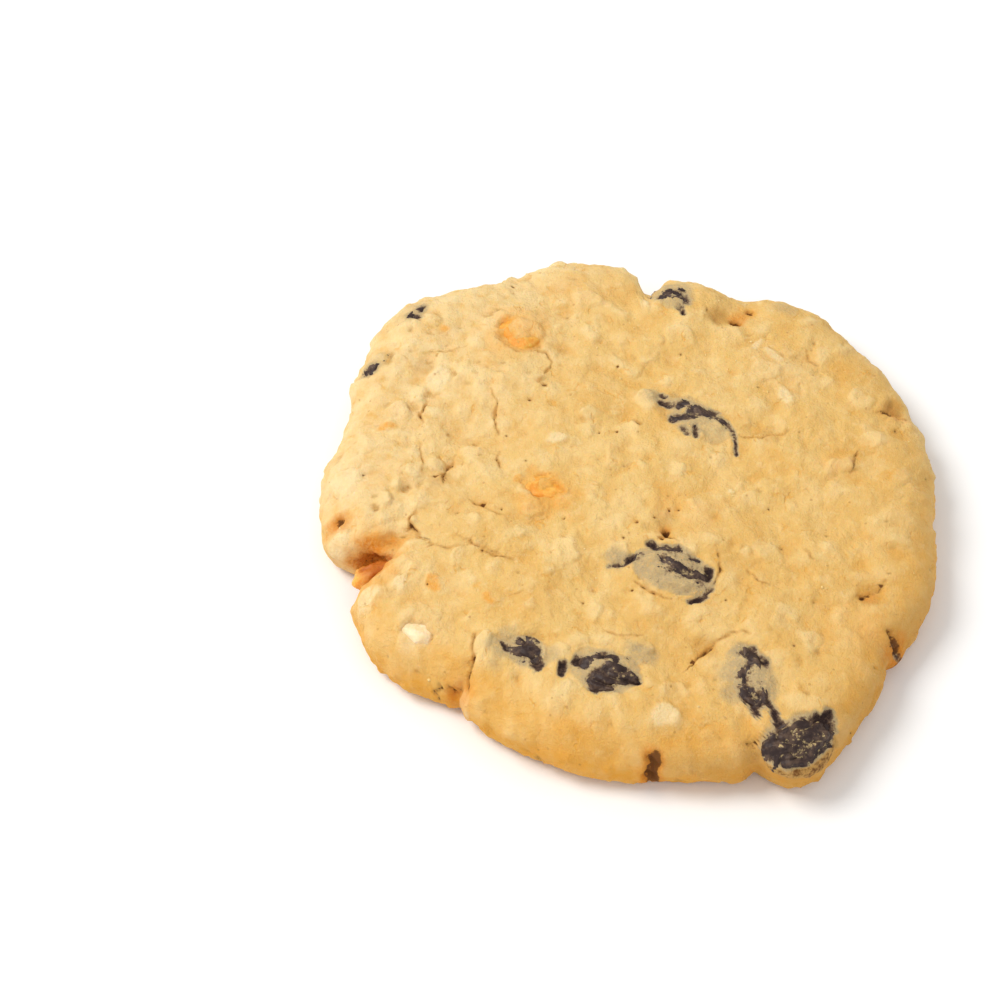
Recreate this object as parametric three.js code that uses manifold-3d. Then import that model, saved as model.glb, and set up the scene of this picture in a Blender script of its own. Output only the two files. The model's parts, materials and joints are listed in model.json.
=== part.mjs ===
// Oatmeal raisin cookie: one baked round of oat dough, with raisins, dried apricot and a nut piece sunk in its top.
// Millimetres, +Z up. The origin is the middle of the flat base. Directions are degrees from +X towards +Y.
import * as THREE from "three";
import { mergeVertices } from "three/addons/utils/BufferGeometryUtils.js";
import Module from "manifold-3d";

const wasm = await Module();
wasm.setup();

// ---------------------------------------------------------------- driving sizes

const MIDDLE_HEIGHT = 10.4; // thickness in the middle
const SHOULDER_HEIGHT = 9.1; // thickness where the top starts to round over
const SHOULDER_SHARE = 0.84; // that place, as a share of the way from the middle to the outline
const WAIST_HEIGHT = 3.2; // height at which the side stands out furthest
const BASE_SHARE = 0.955; // the flat base's edge, as a share of the way to the outline
const SPLITS_START = 0.72; // how far out the edge splits begin, as a share of the way to the outline
const ROUNDNESS = 2.2; // exponent of the round-over: 2 is a circle, more is squarer
const SIT_GAP = 0.3; // clearance between a piece of fruit and its pocket

// Where the dough spread to: direction and distance from the middle.
const SPREAD = [
  [0, 40.2], [22, 42.8], [42, 43.2], [55, 44], [67, 41.4], [77, 41.2],
  [91, 42.6], [101, 44.6], [113, 44.2], [131, 47.2], [143, 44.4], [158, 40.4],
  [168, 41], [184, 39.8], [203, 38.4], [213, 38.6], [229, 35.4], [248, 36.6],
  [266, 37.4], [287, 39.6], [300, 44], [314, 41.4], [328, 39.8], [343, 40.6],
];

// Where the edge split as it spread: direction, half-width in degrees, depth in mm.
const EDGE_SPLITS = [
  { at: 84.5, half: 4.2, depth: 4.4 },
  { at: 66, half: 2.6, depth: 0.8 },
  { at: 192.5, half: 7.5, depth: 6.4 },
  { at: 293, half: 3.4, depth: 2.8 },
  { at: 326, half: 2.6, depth: 1.6 },
  { at: 24, half: 2.4, depth: 0.9 },
  { at: 231, half: 2.4, depth: 1.1 },
];

// Raisins: place on the top, or direction and height on the side; length, width and depth; turn about the way out
// of the dough; and how far they stand out of it.
const RAISINS = {
  raisin_middle: { at: [5.4, -11.4], size: [11.6, 8.0, 5.6], turn: -23, out: 1.0 },
  raisin_upper: { at: [8.8, 13.6], size: [12.4, 7.4, 5.4], turn: -34, out: 0.7 },
  raisin_front_left: { at: [-13.2, -23.2], size: [8.4, 5.4, 4.6], turn: -25, out: 0.5 },
  raisin_front: { at: [-3.6, -26.4], size: [10.4, 7.0, 5.2], turn: -20, out: 0.7 },
  raisin_front_right: { at: [15.0, -27.2], size: [11.6, 6.6, 5.2], turn: -70, out: 0.7 },
  raisin_lobe: { at: [20.6, -36.0], size: [10.2, 7.6, 5.2], turn: 24, out: 1.0 },
  raisin_back_edge: { at: [7.2, 34.4], size: [8.6, 6.2, 5.0], turn: -30, out: 0.5 },
  raisin_back_left: { at: [-28.6, 32.6], size: [6.6, 4.8, 4.2], turn: 50, out: 0.4 },
  raisin_left_edge: { at: [-33.4, 24.2], size: [5.6, 4.0, 3.8], turn: 35, out: 0.35 },
  raisin_right_edge: { side: 326, height: 4.8, size: [5.0, 3.8, 3.8], turn: 80, out: 0.6 },
};
const RAISIN_CREASE = 0.13; // depth of a crease, as a share of the raisin's radius

// Dried apricot pieces and a nut piece, described as the raisins are.
const APRICOTS = {
  apricot_back: { at: [-13.8, 28.4], size: [7.4, 6.0, 4.2], turn: -28, out: 0.5 },
  apricot_middle: { at: [-11.2, 1.9], size: [7.0, 5.4, 4.0], turn: -8, out: 0.45 },
  apricot_edge: { side: 195, height: 5.2, size: [4.6, 3.8, 7.4], turn: 20, out: 3.6 },
};
const NUTS = {
  nut_left: { at: [-27.6, -19.6], size: [5.2, 4.2, 3.6], turn: -30, out: 0.5 },
};
const CHUNK_FLATNESS = 0.16; // how far a cut piece's faces stand in from round, as a share of its radius

// Rolled oats that lift the skin: how many, the share of the way out that the top ones reach, the heights of the
// side ones, and the range of their sizes, of how far they lift the skin, and of how far they tip.
const TOP_OATS = { count: 150, reach: 0.97 };
const SIDE_OATS = { count: 46, heights: [2.6, 6.6] };
const OAT = { length: [5.2, 7.8], width: [4.0, 5.4], lift: [0.2, 0.65], tip: [-0.25, 0.25] };
const OAT_SEED = 7;

// Slow waves of the hand-pressed top: height, and turns for each mm along X and Y.
const WAVES = [
  { height: 0.24, x: 0.21, y: 0.17, start: 0.9 },
  { height: 0.16, x: 0.37, y: -0.31, start: 2.1 },
];
const DRAWN_UP = { height: 0.42, reach: 3.2 }; // dough drawn up round each piece of fruit
const RELIEF_HEIGHTS = [0.6, 4.5]; // heights between which the side's relief grows to its full depth
const WAVE_HEIGHTS = [5, 8.5]; // heights between which the waves of the top begin

// Cracks in the top, as routes of x, y, with their greatest width and depth.
const CRACKS = [
  { route: [[-33.0, -7.2], [-30.6, -6.2], [-28.6, -3.8], [-27.2, -5.6], [-24.2, -7.2]], width: 0.8, depth: 1.6 },
  { route: [[-22.6, 7.8], [-23.6, 5.6], [-24.2, 3.0]], width: 0.7, depth: 1.3 },
  { route: [[-17.4, 16.4], [-17.8, 13.6], [-16.9, 10.8]], width: 0.5, depth: 1.0 },
  { route: [[-20.4, 0.3], [-18.6, -1.2], [-16.2, -2.6]], width: 0.5, depth: 0.9 },
  { route: [[-22.4, -5.6], [-20.0, -7.2], [-16.6, -8.7]], width: 0.6, depth: 1.0 },
  { route: [[-19.6, -20.4], [-20.4, -24.0], [-20.9, -28.0]], width: 1.0, depth: 1.8 },
  { route: [[6.0, -26.4], [8.6, -23.4], [11.4, -21.2], [14.2, -20.6]], width: 0.7, depth: 1.3 },
  { route: [[0.2, -12.6], [2.0, -15.0], [5.0, -16.8]], width: 0.6, depth: 1.2 },
  { route: [[30.6, 8.2], [29.4, 4.6]], width: 0.6, depth: 1.1 },
  { route: [[28.8, -16.0], [30.4, -14.2], [32.8, -13.0]], width: 0.6, depth: 1.1 },
  { route: [[32.8, 14.0], [35.4, 15.6], [38.0, 15.8]], width: 1.1, depth: 1.5 },
];
// Splits down the side: direction, and the heights they run between.
const SIDE_CRACKS = [
  { at: 273, from: 0.9, to: 7.2, width: 1.3, depth: 1.5 },
  { at: 281, from: 0.8, to: 3.4, width: 1.0, depth: 1.0 },
  { at: 250, from: 1.0, to: 3.6, width: 0.9, depth: 1.0 },
  { at: 150, from: 1.2, to: 5.4, width: 0.9, depth: 1.1 },
  { at: 40, from: 1.0, to: 5.0, width: 1.0, depth: 1.2 },
];
// Holes left where a crumb of oat fell out of the top.
const PITS = [
  { at: [15.0, 31.0], radius: 1.2, depth: 1.3 },
  { at: [17.2, 33.6], radius: 1.0, depth: 0.9 },
];

// ---------------------------------------------------------------- mesh fineness

const TOP_RINGS = 26; // ring k of the top holds 6 k points, which spaces them evenly
const SHOULDER_RINGS = 6;
const UNDER_RINGS = 3;
const EDGE_POINTS = 6 * TOP_RINGS;
const OUTLINE_SAMPLES = 720;
const FRUIT_DETAIL = 2;
const CHUNK_DETAIL = 1;

// ---------------------------------------------------------------- small helpers

const UP = new THREE.Vector3(0, 0, 1);

/** 1 at zero, falling smoothly to 0 at -1 and 1. */
const bell = (t) => (Math.abs(t) < 1 ? 0.5 + 0.5 * Math.cos(Math.PI * t) : 0);

/** The turn from direction b to direction a, between -180 and 180 degrees. */
const turnBetween = (a, b) => ((((a - b + 180) % 360) + 360) % 360) - 180;

const between = ([low, high], share) => low + (high - low) * share;

/** A repeatable stream of numbers between 0 and 1. */
function seeded(seed) {
  let state = seed;
  return () => {
    state = (state * 1664525 + 1013904223) % 4294967296;
    return state / 4294967296;
  };
}

function solidOf(geometry) {
  const bare = geometry.clone().deleteAttribute("normal").deleteAttribute("uv");
  const merged = mergeVertices(bare, 1e-4);
  return new wasm.Manifold(
    new wasm.Mesh({
      numProp: 3,
      vertProperties: new Float32Array(merged.attributes.position.array),
      triVerts: new Uint32Array(merged.index.array),
    }),
  );
}

function geometryOf(solid) {
  const mesh = solid.getMesh();
  const geometry = new THREE.BufferGeometry();
  geometry.setAttribute("position", new THREE.BufferAttribute(mesh.vertProperties, 3));
  geometry.setIndex(new THREE.BufferAttribute(mesh.triVerts, 1));
  geometry.computeVertexNormals();
  return geometry;
}

// ---------------------------------------------------------------- the round of dough

const spreadCurve = new THREE.CatmullRomCurve3(
  SPREAD.map(([direction, reach]) => {
    const angle = THREE.MathUtils.degToRad(direction);
    return new THREE.Vector3(reach * Math.cos(angle), reach * Math.sin(angle), 0);
  }),
  true,
  "centripetal",
);

/** The point a share of the way round and a share of the way out, with the edge splits drawn in. */
function spreadPoint(round, share) {
  const point = spreadCurve.getPointAt(round % 1);
  const direction = THREE.MathUtils.radToDeg(Math.atan2(point.y, point.x));
  const inward = EDGE_SPLITS.reduce(
    (sum, split) => sum + split.depth * bell(turnBetween(direction, split.at) / split.half),
    0,
  );
  const fade = THREE.MathUtils.smoothstep(share, SPLITS_START, 1);
  return point.setLength(Math.max(point.length() * share - inward * fade, 0));
}

const outlineSamples = Array.from({ length: OUTLINE_SAMPLES }, (_, i) => {
  const point = spreadPoint(i / OUTLINE_SAMPLES, 1);
  return { direction: THREE.MathUtils.radToDeg(Math.atan2(point.y, point.x)), reach: point.length() };
});

/** How far the outline is from the middle in the direction of x, y. */
function reachTowards(x, y) {
  const direction = THREE.MathUtils.radToDeg(Math.atan2(y, x));
  const offBy = (sample) => Math.abs(turnBetween(sample.direction, direction));
  return outlineSamples.reduce((best, sample) => (offBy(sample) < offBy(best) ? sample : best)).reach;
}

/** Height of the smooth top at a share of the way to the outline. */
function smoothTop(share) {
  if (share <= SHOULDER_SHARE) {
    return MIDDLE_HEIGHT - (MIDDLE_HEIGHT - SHOULDER_HEIGHT) * (share / SHOULDER_SHARE) ** 2;
  }
  const over = Math.min((share - SHOULDER_SHARE) / (1 - SHOULDER_SHARE), 1);
  const fall = (1 - over ** ROUNDNESS) ** (1 / ROUNDNESS);
  return WAIST_HEIGHT + (SHOULDER_HEIGHT - WAIST_HEIGHT) * fall;
}

/** The point of the smooth top above x, y, and the way out of the dough there. */
function onTop(x, y) {
  const reach = reachTowards(x, y);
  const share = Math.hypot(x, y) / reach;
  const step = 0.01;
  const slope = (smoothTop(share + step) - smoothTop(share - step)) / (2 * step * reach);
  const outward = new THREE.Vector3(x, y, 0).setLength(-slope);
  return { point: new THREE.Vector3(x, y, smoothTop(share)), out: outward.add(UP).normalize() };
}

/** The smooth side's point and way out at a direction and height. */
function onSide(direction, height) {
  const angle = THREE.MathUtils.degToRad(direction);
  const radial = new THREE.Vector3(Math.cos(angle), Math.sin(angle), 0);
  const rise = Math.max(0, (height - WAIST_HEIGHT) / (SHOULDER_HEIGHT - WAIST_HEIGHT));
  const share = SHOULDER_SHARE + (1 - SHOULDER_SHARE) * (1 - rise ** ROUNDNESS) ** (1 / ROUNDNESS);
  const reach = reachTowards(radial.x, radial.y) * share;
  const out = radial.clone().addScaledVector(UP, rise).normalize();
  return { point: radial.setLength(reach).setZ(height), out };
}

/** Rolled oats just under the skin: spread by the golden angle, each turned and sized by a seeded draw. */
function scatterOats() {
  const draw = seeded(OAT_SEED);
  const goldenAngle = 180 * (3 - Math.sqrt(5));
  const places = [];
  for (let i = 0; i < TOP_OATS.count; i++) {
    const share = TOP_OATS.reach * Math.sqrt((i + 0.5) / TOP_OATS.count);
    const angle = THREE.MathUtils.degToRad((i + 0.1 * draw()) * goldenAngle);
    const reach = share * reachTowards(Math.cos(angle), Math.sin(angle));
    places.push(onTop(reach * Math.cos(angle), reach * Math.sin(angle)));
  }
  for (let i = 0; i < SIDE_OATS.count; i++) {
    places.push(onSide((360 * (i + 0.7 * draw())) / SIDE_OATS.count, between(SIDE_OATS.heights, draw())));
  }
  return places.map(({ point, out }) => {
    const along = new THREE.Vector3(1, 0, 0).applyAxisAngle(UP, Math.PI * draw());
    along.addScaledVector(out, -along.dot(out)).normalize();
    return {
      point,
      along,
      across: out.clone().cross(along),
      halfLength: between(OAT.length, draw()) / 2,
      halfWidth: between(OAT.width, draw()) / 2,
      lift: between(OAT.lift, draw()),
      tip: between(OAT.tip, draw()),
    };
  });
}

const fruitOnTop = Object.values({ ...RAISINS, ...APRICOTS, ...NUTS }).filter(({ at }) => at);
const oats = scatterOats();

/** Slow unevenness of the top. */
const unevenness = (x, y) =>
  WAVES.reduce((sum, wave) => sum + wave.height * Math.sin(wave.x * x + wave.y * y + wave.start), 0);

/** How far the skin stands out from the smooth shape at a point. */
function relief(point) {
  const offset = new THREE.Vector3();
  let oatLift = 0;
  for (const oat of oats) {
    offset.subVectors(point, oat.point);
    if (offset.length() > OAT.length[1]) continue;
    const u = offset.dot(oat.along) / oat.halfLength;
    const v = offset.dot(oat.across) / oat.halfWidth;
    const inside = 1 - (u * u + v * v) ** 2;
    if (inside > 0) oatLift = Math.max(oatLift, (oat.lift + oat.tip * u) * Math.sqrt(inside));
  }
  let drawnUp = 0;
  for (const { at, size } of fruitOnTop) {
    const clear = Math.hypot(point.x - at[0], point.y - at[1]) - size[0] / 2;
    drawnUp = Math.max(drawnUp, DRAWN_UP.height * bell(Math.max(clear, 0) / DRAWN_UP.reach));
  }
  const onSkin = THREE.MathUtils.smoothstep(point.z, ...RELIEF_HEIGHTS);
  const onTheTop = THREE.MathUtils.smoothstep(point.z, ...WAVE_HEIGHTS);
  return onSkin * oatLift + onTheTop * (unevenness(point.x, point.y) + drawnUp);
}

/** The dough's rings of points, from the middle of the top, over the edge, to the edge of the base. */
function doughRings() {
  const ring = (count, share, height) =>
    Array.from({ length: count }, (_, i) => spreadPoint(i / count, share).setZ(height));
  const rings = [[new THREE.Vector3(0, 0, MIDDLE_HEIGHT)]];
  for (let k = 1; k <= TOP_RINGS; k++) {
    const share = (SHOULDER_SHARE * k) / TOP_RINGS;
    rings.push(ring(6 * k, share, smoothTop(share)));
  }
  for (let k = 1; k <= SHOULDER_RINGS; k++) {
    const angle = (Math.PI / 2) * (k / SHOULDER_RINGS);
    const over = Math.sin(angle) ** (2 / ROUNDNESS);
    const share = SHOULDER_SHARE + (1 - SHOULDER_SHARE) * over;
    rings.push(ring(EDGE_POINTS, share, smoothTop(share)));
  }
  for (let k = 1; k <= UNDER_RINGS; k++) {
    const angle = (Math.PI / 2) * (k / UNDER_RINGS);
    const share = BASE_SHARE + (1 - BASE_SHARE) * Math.cos(angle);
    rings.push(ring(EDGE_POINTS, share, WAIST_HEIGHT * (1 - Math.sin(angle))));
  }
  rings.push([new THREE.Vector3(0, 0, 0)]);
  return rings;
}

/** The faces between two rings, each given by its first point's number and how many points it has. */
function stitch(inner, outer) {
  const faces = [];
  const point = (ring, i) => ring.first + (i % ring.count);
  const steps = (ring) => (ring.count > 1 ? ring.count : 0);
  let i = 0;
  let j = 0;
  while (i < steps(inner) || j < steps(outer)) {
    const outerNext = i >= steps(inner) || (j < steps(outer) && (j + 1) / outer.count <= (i + 1) / inner.count);
    const tip = outerNext ? point(outer, ++j) : point(inner, i + 1);
    faces.push(point(inner, i), point(outer, outerNext ? j - 1 : j), tip);
    if (!outerNext) i++;
  }
  return faces;
}

/** One closed skin over rings of any sizes that start and end in a single point. */
function skinOver(rings) {
  let first = 0;
  const numbered = rings.map((ring) => {
    const entry = { first, count: ring.length };
    first += ring.length;
    return entry;
  });
  const faces = numbered.slice(1).flatMap((outer, i) => stitch(numbered[i], outer));
  const geometry = new THREE.BufferGeometry().setFromPoints(rings.flat());
  geometry.setIndex(faces);
  return geometry;
}

function doughGeometry() {
  const geometry = skinOver(doughRings());
  geometry.computeVertexNormals();
  const { position, normal } = geometry.attributes;
  const point = new THREE.Vector3();
  const out = new THREE.Vector3();
  for (let i = 0; i < position.count; i++) {
    point.fromBufferAttribute(position, i);
    out.fromBufferAttribute(normal, i);
    point.addScaledVector(out, relief(point));
    position.setXYZ(i, point.x, point.y, point.z);
  }
  return geometry;
}

// ---------------------------------------------------------------- fruit and nut pieces

/** A raisin of radius 1: long creases that wander, deepest round the middle. */
function raisinShape(direction, seed) {
  const round = Math.atan2(direction.z, direction.y);
  const wander = 0.7 * Math.sin(2.3 * direction.x + seed) + 0.35 * Math.sin(5.1 * direction.x - 2 * seed);
  const crease = 1 - Math.abs(Math.sin(2.5 * round + wander + seed));
  return 1 - RAISIN_CREASE * crease ** 1.5 - 0.05 * Math.sin(3 * direction.x + 4 * round + seed);
}

/** A cut piece of radius 1: round, with a few flattened sides. */
function chunkShape(direction, seed) {
  const facets = Math.sin(2.2 * direction.x + seed) * Math.cos(2.6 * direction.y - seed) + Math.sin(3 * direction.z);
  return 1 - CHUNK_FLATNESS * Math.abs(facets);
}

/** A piece's closed geometry about its own middle, with every half-size grown by grow. */
function pieceGeometry(shape, detail, size, seed, grow) {
  const geometry = new THREE.IcosahedronGeometry(1, detail);
  const { position } = geometry.attributes;
  const point = new THREE.Vector3();
  const half = new THREE.Vector3(...size).multiplyScalar(0.5);
  for (let i = 0; i < position.count; i++) {
    point.fromBufferAttribute(position, i).normalize();
    point.multiplyScalar(shape(point, seed)).multiply(half).addScaledVector(point.clone().normalize(), grow);
    position.setXYZ(i, point.x, point.y, point.z);
  }
  geometry.computeVertexNormals();
  return geometry;
}

/** A named piece laid in the dough so that it stands out of the skin by its out. */
function makePiece(name, place, shape, detail, material, seed) {
  const { size, turn, out } = place;
  const { point, out: normal } = place.at ? onTop(...place.at) : onSide(place.side, place.height);
  const piece = new THREE.Mesh(pieceGeometry(shape, detail, size, seed, 0), material);
  piece.name = name;
  const lean = new THREE.Quaternion().setFromUnitVectors(UP, normal);
  piece.quaternion.setFromAxisAngle(UP, THREE.MathUtils.degToRad(turn)).premultiply(lean);
  const skin = point.addScaledVector(normal, relief(point));
  piece.position.copy(skin).addScaledVector(normal, out - size[2] / 2);
  piece.updateMatrixWorld();
  const pocket = pieceGeometry(shape, detail, size, seed, SIT_GAP).applyMatrix4(piece.matrixWorld);
  return { piece, pocket: solidOf(pocket) };
}

// ---------------------------------------------------------------- cracks and pits

/** A wedge along a route on the skin, widest and deepest half way, with its edge inside the dough. */
function crackWedge(route, width, depth) {
  const above = 1.6; // how far the wedge stands out of the skin, to cut whatever relief is there
  const sections = route.map(({ point, out }, i) => {
    const before = route[Math.max(i - 1, 0)].point;
    const after = route[Math.min(i + 1, route.length - 1)].point;
    const sideways = new THREE.Vector3().subVectors(after, before).cross(out).normalize();
    const share = 0.2 + 0.8 * Math.sin((Math.PI * (i + 0.3)) / (route.length - 0.4));
    const half = (0.5 * width * share * (depth + above)) / depth;
    const top = point.clone().addScaledVector(out, above);
    return [
      top.clone().addScaledVector(sideways, half),
      top.clone().addScaledVector(sideways, -half),
      point.clone().addScaledVector(out, -depth * share),
    ];
  });
  const faces = [0, 2, 1];
  for (let i = 0; i + 1 < sections.length; i++) {
    for (let side = 0; side < 3; side++) {
      const a = 3 * i + side;
      const b = 3 * i + ((side + 1) % 3);
      faces.push(a, b, b + 3, a, b + 3, a + 3);
    }
  }
  const end = 3 * (sections.length - 1);
  faces.push(end, end + 1, end + 2);
  const geometry = new THREE.BufferGeometry().setFromPoints(sections.flat());
  geometry.setIndex(faces);
  const wedge = solidOf(geometry);
  return wedge.volume() < 0 ? solidOf(geometry.setIndex(faces.reverse())) : wedge;
}

/** Where a top crack's route lies on the raised skin. */
function onSkin([x, y]) {
  const { point, out } = onTop(x, y);
  return { point: point.addScaledVector(out, relief(point)), out };
}

function pitCutter({ at, radius, depth }) {
  const { point } = onSkin(at);
  const geometry = new THREE.IcosahedronGeometry(1, 1);
  geometry.scale(radius, radius, depth);
  return solidOf(geometry.translate(point.x, point.y, point.z));
}

function crackCutters() {
  const SIDE_STEPS = 4;
  const top = CRACKS.map(({ route, width, depth }) => crackWedge(route.map(onSkin), width, depth));
  const side = SIDE_CRACKS.map(({ at, from, to, width, depth }) => {
    const heights = Array.from({ length: SIDE_STEPS }, (_, i) => between([from, to], i / (SIDE_STEPS - 1)));
    const route = heights.map((height, i) => onSide(at + 0.7 * (i % 2), height));
    return crackWedge(route, width, depth);
  });
  return [...top, ...side, ...PITS.map(pitCutter)];
}

// ---------------------------------------------------------------- the cookie

const doughMaterial = new THREE.MeshStandardMaterial({ color: 0xe3bd7d, roughness: 0.9, metalness: 0 });
const raisinMaterial = new THREE.MeshStandardMaterial({ color: 0x3a2a30, roughness: 0.55, metalness: 0 });
const apricotMaterial = new THREE.MeshStandardMaterial({ color: 0xeb9a3c, roughness: 0.5, metalness: 0 });
const nutMaterial = new THREE.MeshStandardMaterial({ color: 0xf7e6c0, roughness: 0.7, metalness: 0 });

const entries = [
  ...Object.entries(RAISINS).map((entry) => [...entry, raisinShape, FRUIT_DETAIL, raisinMaterial]),
  ...Object.entries(APRICOTS).map((entry) => [...entry, chunkShape, CHUNK_DETAIL, apricotMaterial]),
  ...Object.entries(NUTS).map((entry) => [...entry, chunkShape, CHUNK_DETAIL, nutMaterial]),
];
const pieces = entries.map(([name, place, shape, detail, material], i) =>
  makePiece(name, place, shape, detail, material, 1 + 1.7 * i),
);

/** The dough with its pockets and cracks cut, without any crumb that a cut leaves loose. */
function doughMesh() {
  const cutters = [...pieces.map(({ pocket }) => pocket), ...crackCutters()];
  const cut = cutters.reduce((solid, cutter) => solid.subtract(cutter), solidOf(doughGeometry()));
  const whole = cut.decompose().reduce((a, b) => (a.volume() > b.volume() ? a : b));
  const mesh = new THREE.Mesh(geometryOf(whole), doughMaterial);
  mesh.name = "dough";
  return mesh;
}

const cookie = new THREE.Group();
cookie.add(doughMesh(), ...pieces.map(({ piece }) => piece));

// The origin goes under the middle of the cookie's box.
const middle = new THREE.Box3().setFromObject(cookie, true).getCenter(new THREE.Vector3());
cookie.position.set(-middle.x, -middle.y, 0);

export default cookie;
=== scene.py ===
"""Oatmeal raisin cookie: the baked dough, the fruit in it and its crumbs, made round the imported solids.

Lengths in the tables and in the relief are millimetres, and a mesh or a light is made in metres.
"""

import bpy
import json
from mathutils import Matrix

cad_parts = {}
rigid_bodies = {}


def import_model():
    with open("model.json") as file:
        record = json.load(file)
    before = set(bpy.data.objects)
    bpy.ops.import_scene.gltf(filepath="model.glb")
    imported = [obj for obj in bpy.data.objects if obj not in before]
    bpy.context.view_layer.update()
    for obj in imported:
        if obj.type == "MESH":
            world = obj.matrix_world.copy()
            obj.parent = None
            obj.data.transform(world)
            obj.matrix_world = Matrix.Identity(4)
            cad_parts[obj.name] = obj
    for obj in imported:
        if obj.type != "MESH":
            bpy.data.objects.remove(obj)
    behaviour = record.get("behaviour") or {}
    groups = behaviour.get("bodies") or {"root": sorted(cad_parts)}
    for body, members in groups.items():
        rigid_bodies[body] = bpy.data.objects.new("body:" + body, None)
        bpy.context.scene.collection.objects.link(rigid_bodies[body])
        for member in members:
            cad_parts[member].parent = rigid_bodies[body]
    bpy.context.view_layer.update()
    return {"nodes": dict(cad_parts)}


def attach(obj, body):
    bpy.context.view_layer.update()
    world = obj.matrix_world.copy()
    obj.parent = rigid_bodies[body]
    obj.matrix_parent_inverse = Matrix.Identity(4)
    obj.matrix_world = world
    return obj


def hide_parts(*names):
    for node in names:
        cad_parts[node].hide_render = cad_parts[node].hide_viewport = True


bl_info = {
    "name": "Oatmeal Raisin Cookie",
    "version": (1, 0, 0),
    "blender": (4, 5, 0),
    "location": "View3D > Sidebar > Cookie",
    "description": "Makes the dough, fruit and crumbs of an oat cookie, and the stage that it lies on",
    "category": "Add Mesh",
}

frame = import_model()

import json
import math

import bpy
import numpy as np
from bpy.props import FloatProperty, FloatVectorProperty, PointerProperty
from bpy.types import Operator, Panel, PropertyGroup
from mathutils import Vector, noise
from mathutils.bvhtree import BVHTree

MM = 0.001
MIDDLE = np.array([-0.1, -2.5])  # where the dough spread from, in the frame

# ---------------------------------------------------------------- the dough's places, from its middle

# Cracks across the top: half-width, depth, and the route as x, y.
CRACKS = [
    (0.26, 1.0, [(-33.5, -7.4), (-31.5, -6.5), (-29.6, -4.8), (-28.4, -3.6), (-27.3, -5.4), (-25.4, -6.9)]),
    (0.12, 0.4, [(-25.4, -6.9), (-23.2, -7.5), (-21.8, -7.2)]),
    (0.13, 0.5, [(-28.4, -3.6), (-28.5, -2.4), (-27.9, -1.2)]),
    (0.15, 0.6, [(-22.8, 7.9), (-23.4, 6.2), (-24.3, 4.5)]),
    (0.26, 0.9, [(-24.0, 4.9), (-24.3, 3.9), (-24.2, 2.9)]),
    (0.11, 0.4, [(-24.3, 4.5), (-25.2, 3.9), (-25.9, 4.1)]),
    (0.15, 0.6, [(-17.2, 16.6), (-17.6, 13.8), (-17.0, 11.0)]),
    (0.10, 0.4, [(-18.0, 18.4), (-17.3, 16.4)]),
    (0.14, 0.5, [(-17.0, 8.2), (-17.3, 6.8), (-16.7, 5.6)]),
    (0.13, 0.5, [(-12.4, 25.2), (-10.7, 24.7), (-9.9, 22.9), (-10.8, 21.2)]),
    (0.24, 0.8, [(-11.3, 20.4), (-11.6, 19.4)]),
    (0.16, 0.5, [(-20.9, 0.3), (-19.4, -0.6), (-18.8, -0.9)]),
    (0.11, 0.4, [(-18.8, -0.9), (-17.4, -2.2), (-16.4, -2.6)]),
    (0.14, 0.5, [(-22.4, -5.4), (-20.0, -7.0), (-16.6, -8.6)]),
    (0.11, 0.4, [(-19.2, -8.0), (-17.0, -8.9), (-14.8, -9.3)]),
    (0.24, 1.1, [(-19.9, -20.6), (-20.3, -22.4), (-20.0, -23.8), (-20.7, -25.6), (-20.8, -27.4)]),
    (0.15, 0.6, [(6.4, -26.2), (8.5, -23.7), (10.5, -21.9), (12.4, -20.7), (13.8, -20.5), (14.9, -20.9)]),
    (0.15, 0.6, [(30.3, 8.4), (29.6, 6.4), (29.2, 4.9)]),
    (0.27, 0.7, [(29.1, -14.6), (30.6, -13.9), (31.9, -13.1), (32.6, -11.6)]),
    (0.14, 0.6, [(0.4, -13.0), (2.4, -14.7), (4.8, -15.9)]),
    (0.10, 0.4, [(-26.3, 25.3), (-23.9, 25.3), (-21.4, 26.0)]),
    (0.26, 0.8, [(33.2, 15.6), (35.2, 15.9), (37.8, 15.2)]),
    (0.36, 1.0, [(-23.4, -26.0), (-22.8, -27.0), (-23.1, -28.2)]),
    (0.17, 0.7, [(10.9, -8.6), (11.4, -10.3), (11.3, -11.8), (10.4, -13.6)]),
    (0.20, 0.8, [(4.4, -4.6), (4.8, -6.4), (6.4, -7.3)]),
    (0.22, 0.8, [(0.6, 13.0), (1.9, 12.1)]),
    (0.14, 0.5, [(24.6, 25.8), (24.9, 23.9), (26.0, 23.2)]),
    (0.12, 0.4, [(14.9, 10.4), (17.4, 10.2), (20.6, 10.6), (21.2, 11.4)]),
    (0.12, 0.5, [(20.4, -27.8), (21.2, -29.6), (21.9, -29.4)]),
    (0.16, 0.7, [(-26.4, 16.9), (-27.4, 14.6), (-27.0, 12.8)]),
    (0.10, 0.4, [(-27.5, 9.6), (-27.0, 6.2), (-27.2, 4.6)]),
    (0.11, 0.4, [(-29.6, 24.2), (-28.7, 22.4)]),
    (0.10, 0.4, [(14.6, -10.6), (16.2, -12.8), (17.6, -13.2)]),
    (0.10, 0.4, [(22.6, -7.6), (23.5, -9.2)]),
    (0.10, 0.4, [(-3.6, -20.4), (-1.4, -21.6), (1.2, -21.2)]),
    (0.34, 0.7, [(13.4, -35.5), (14.6, -35.6), (15.8, -35.2), (16.8, -34.9)]),
    (0.60, 1.2, [(32.7, -18.7), (33.4, -19.4), (34.0, -20.2), (34.6, -20.8)]),
]
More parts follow.
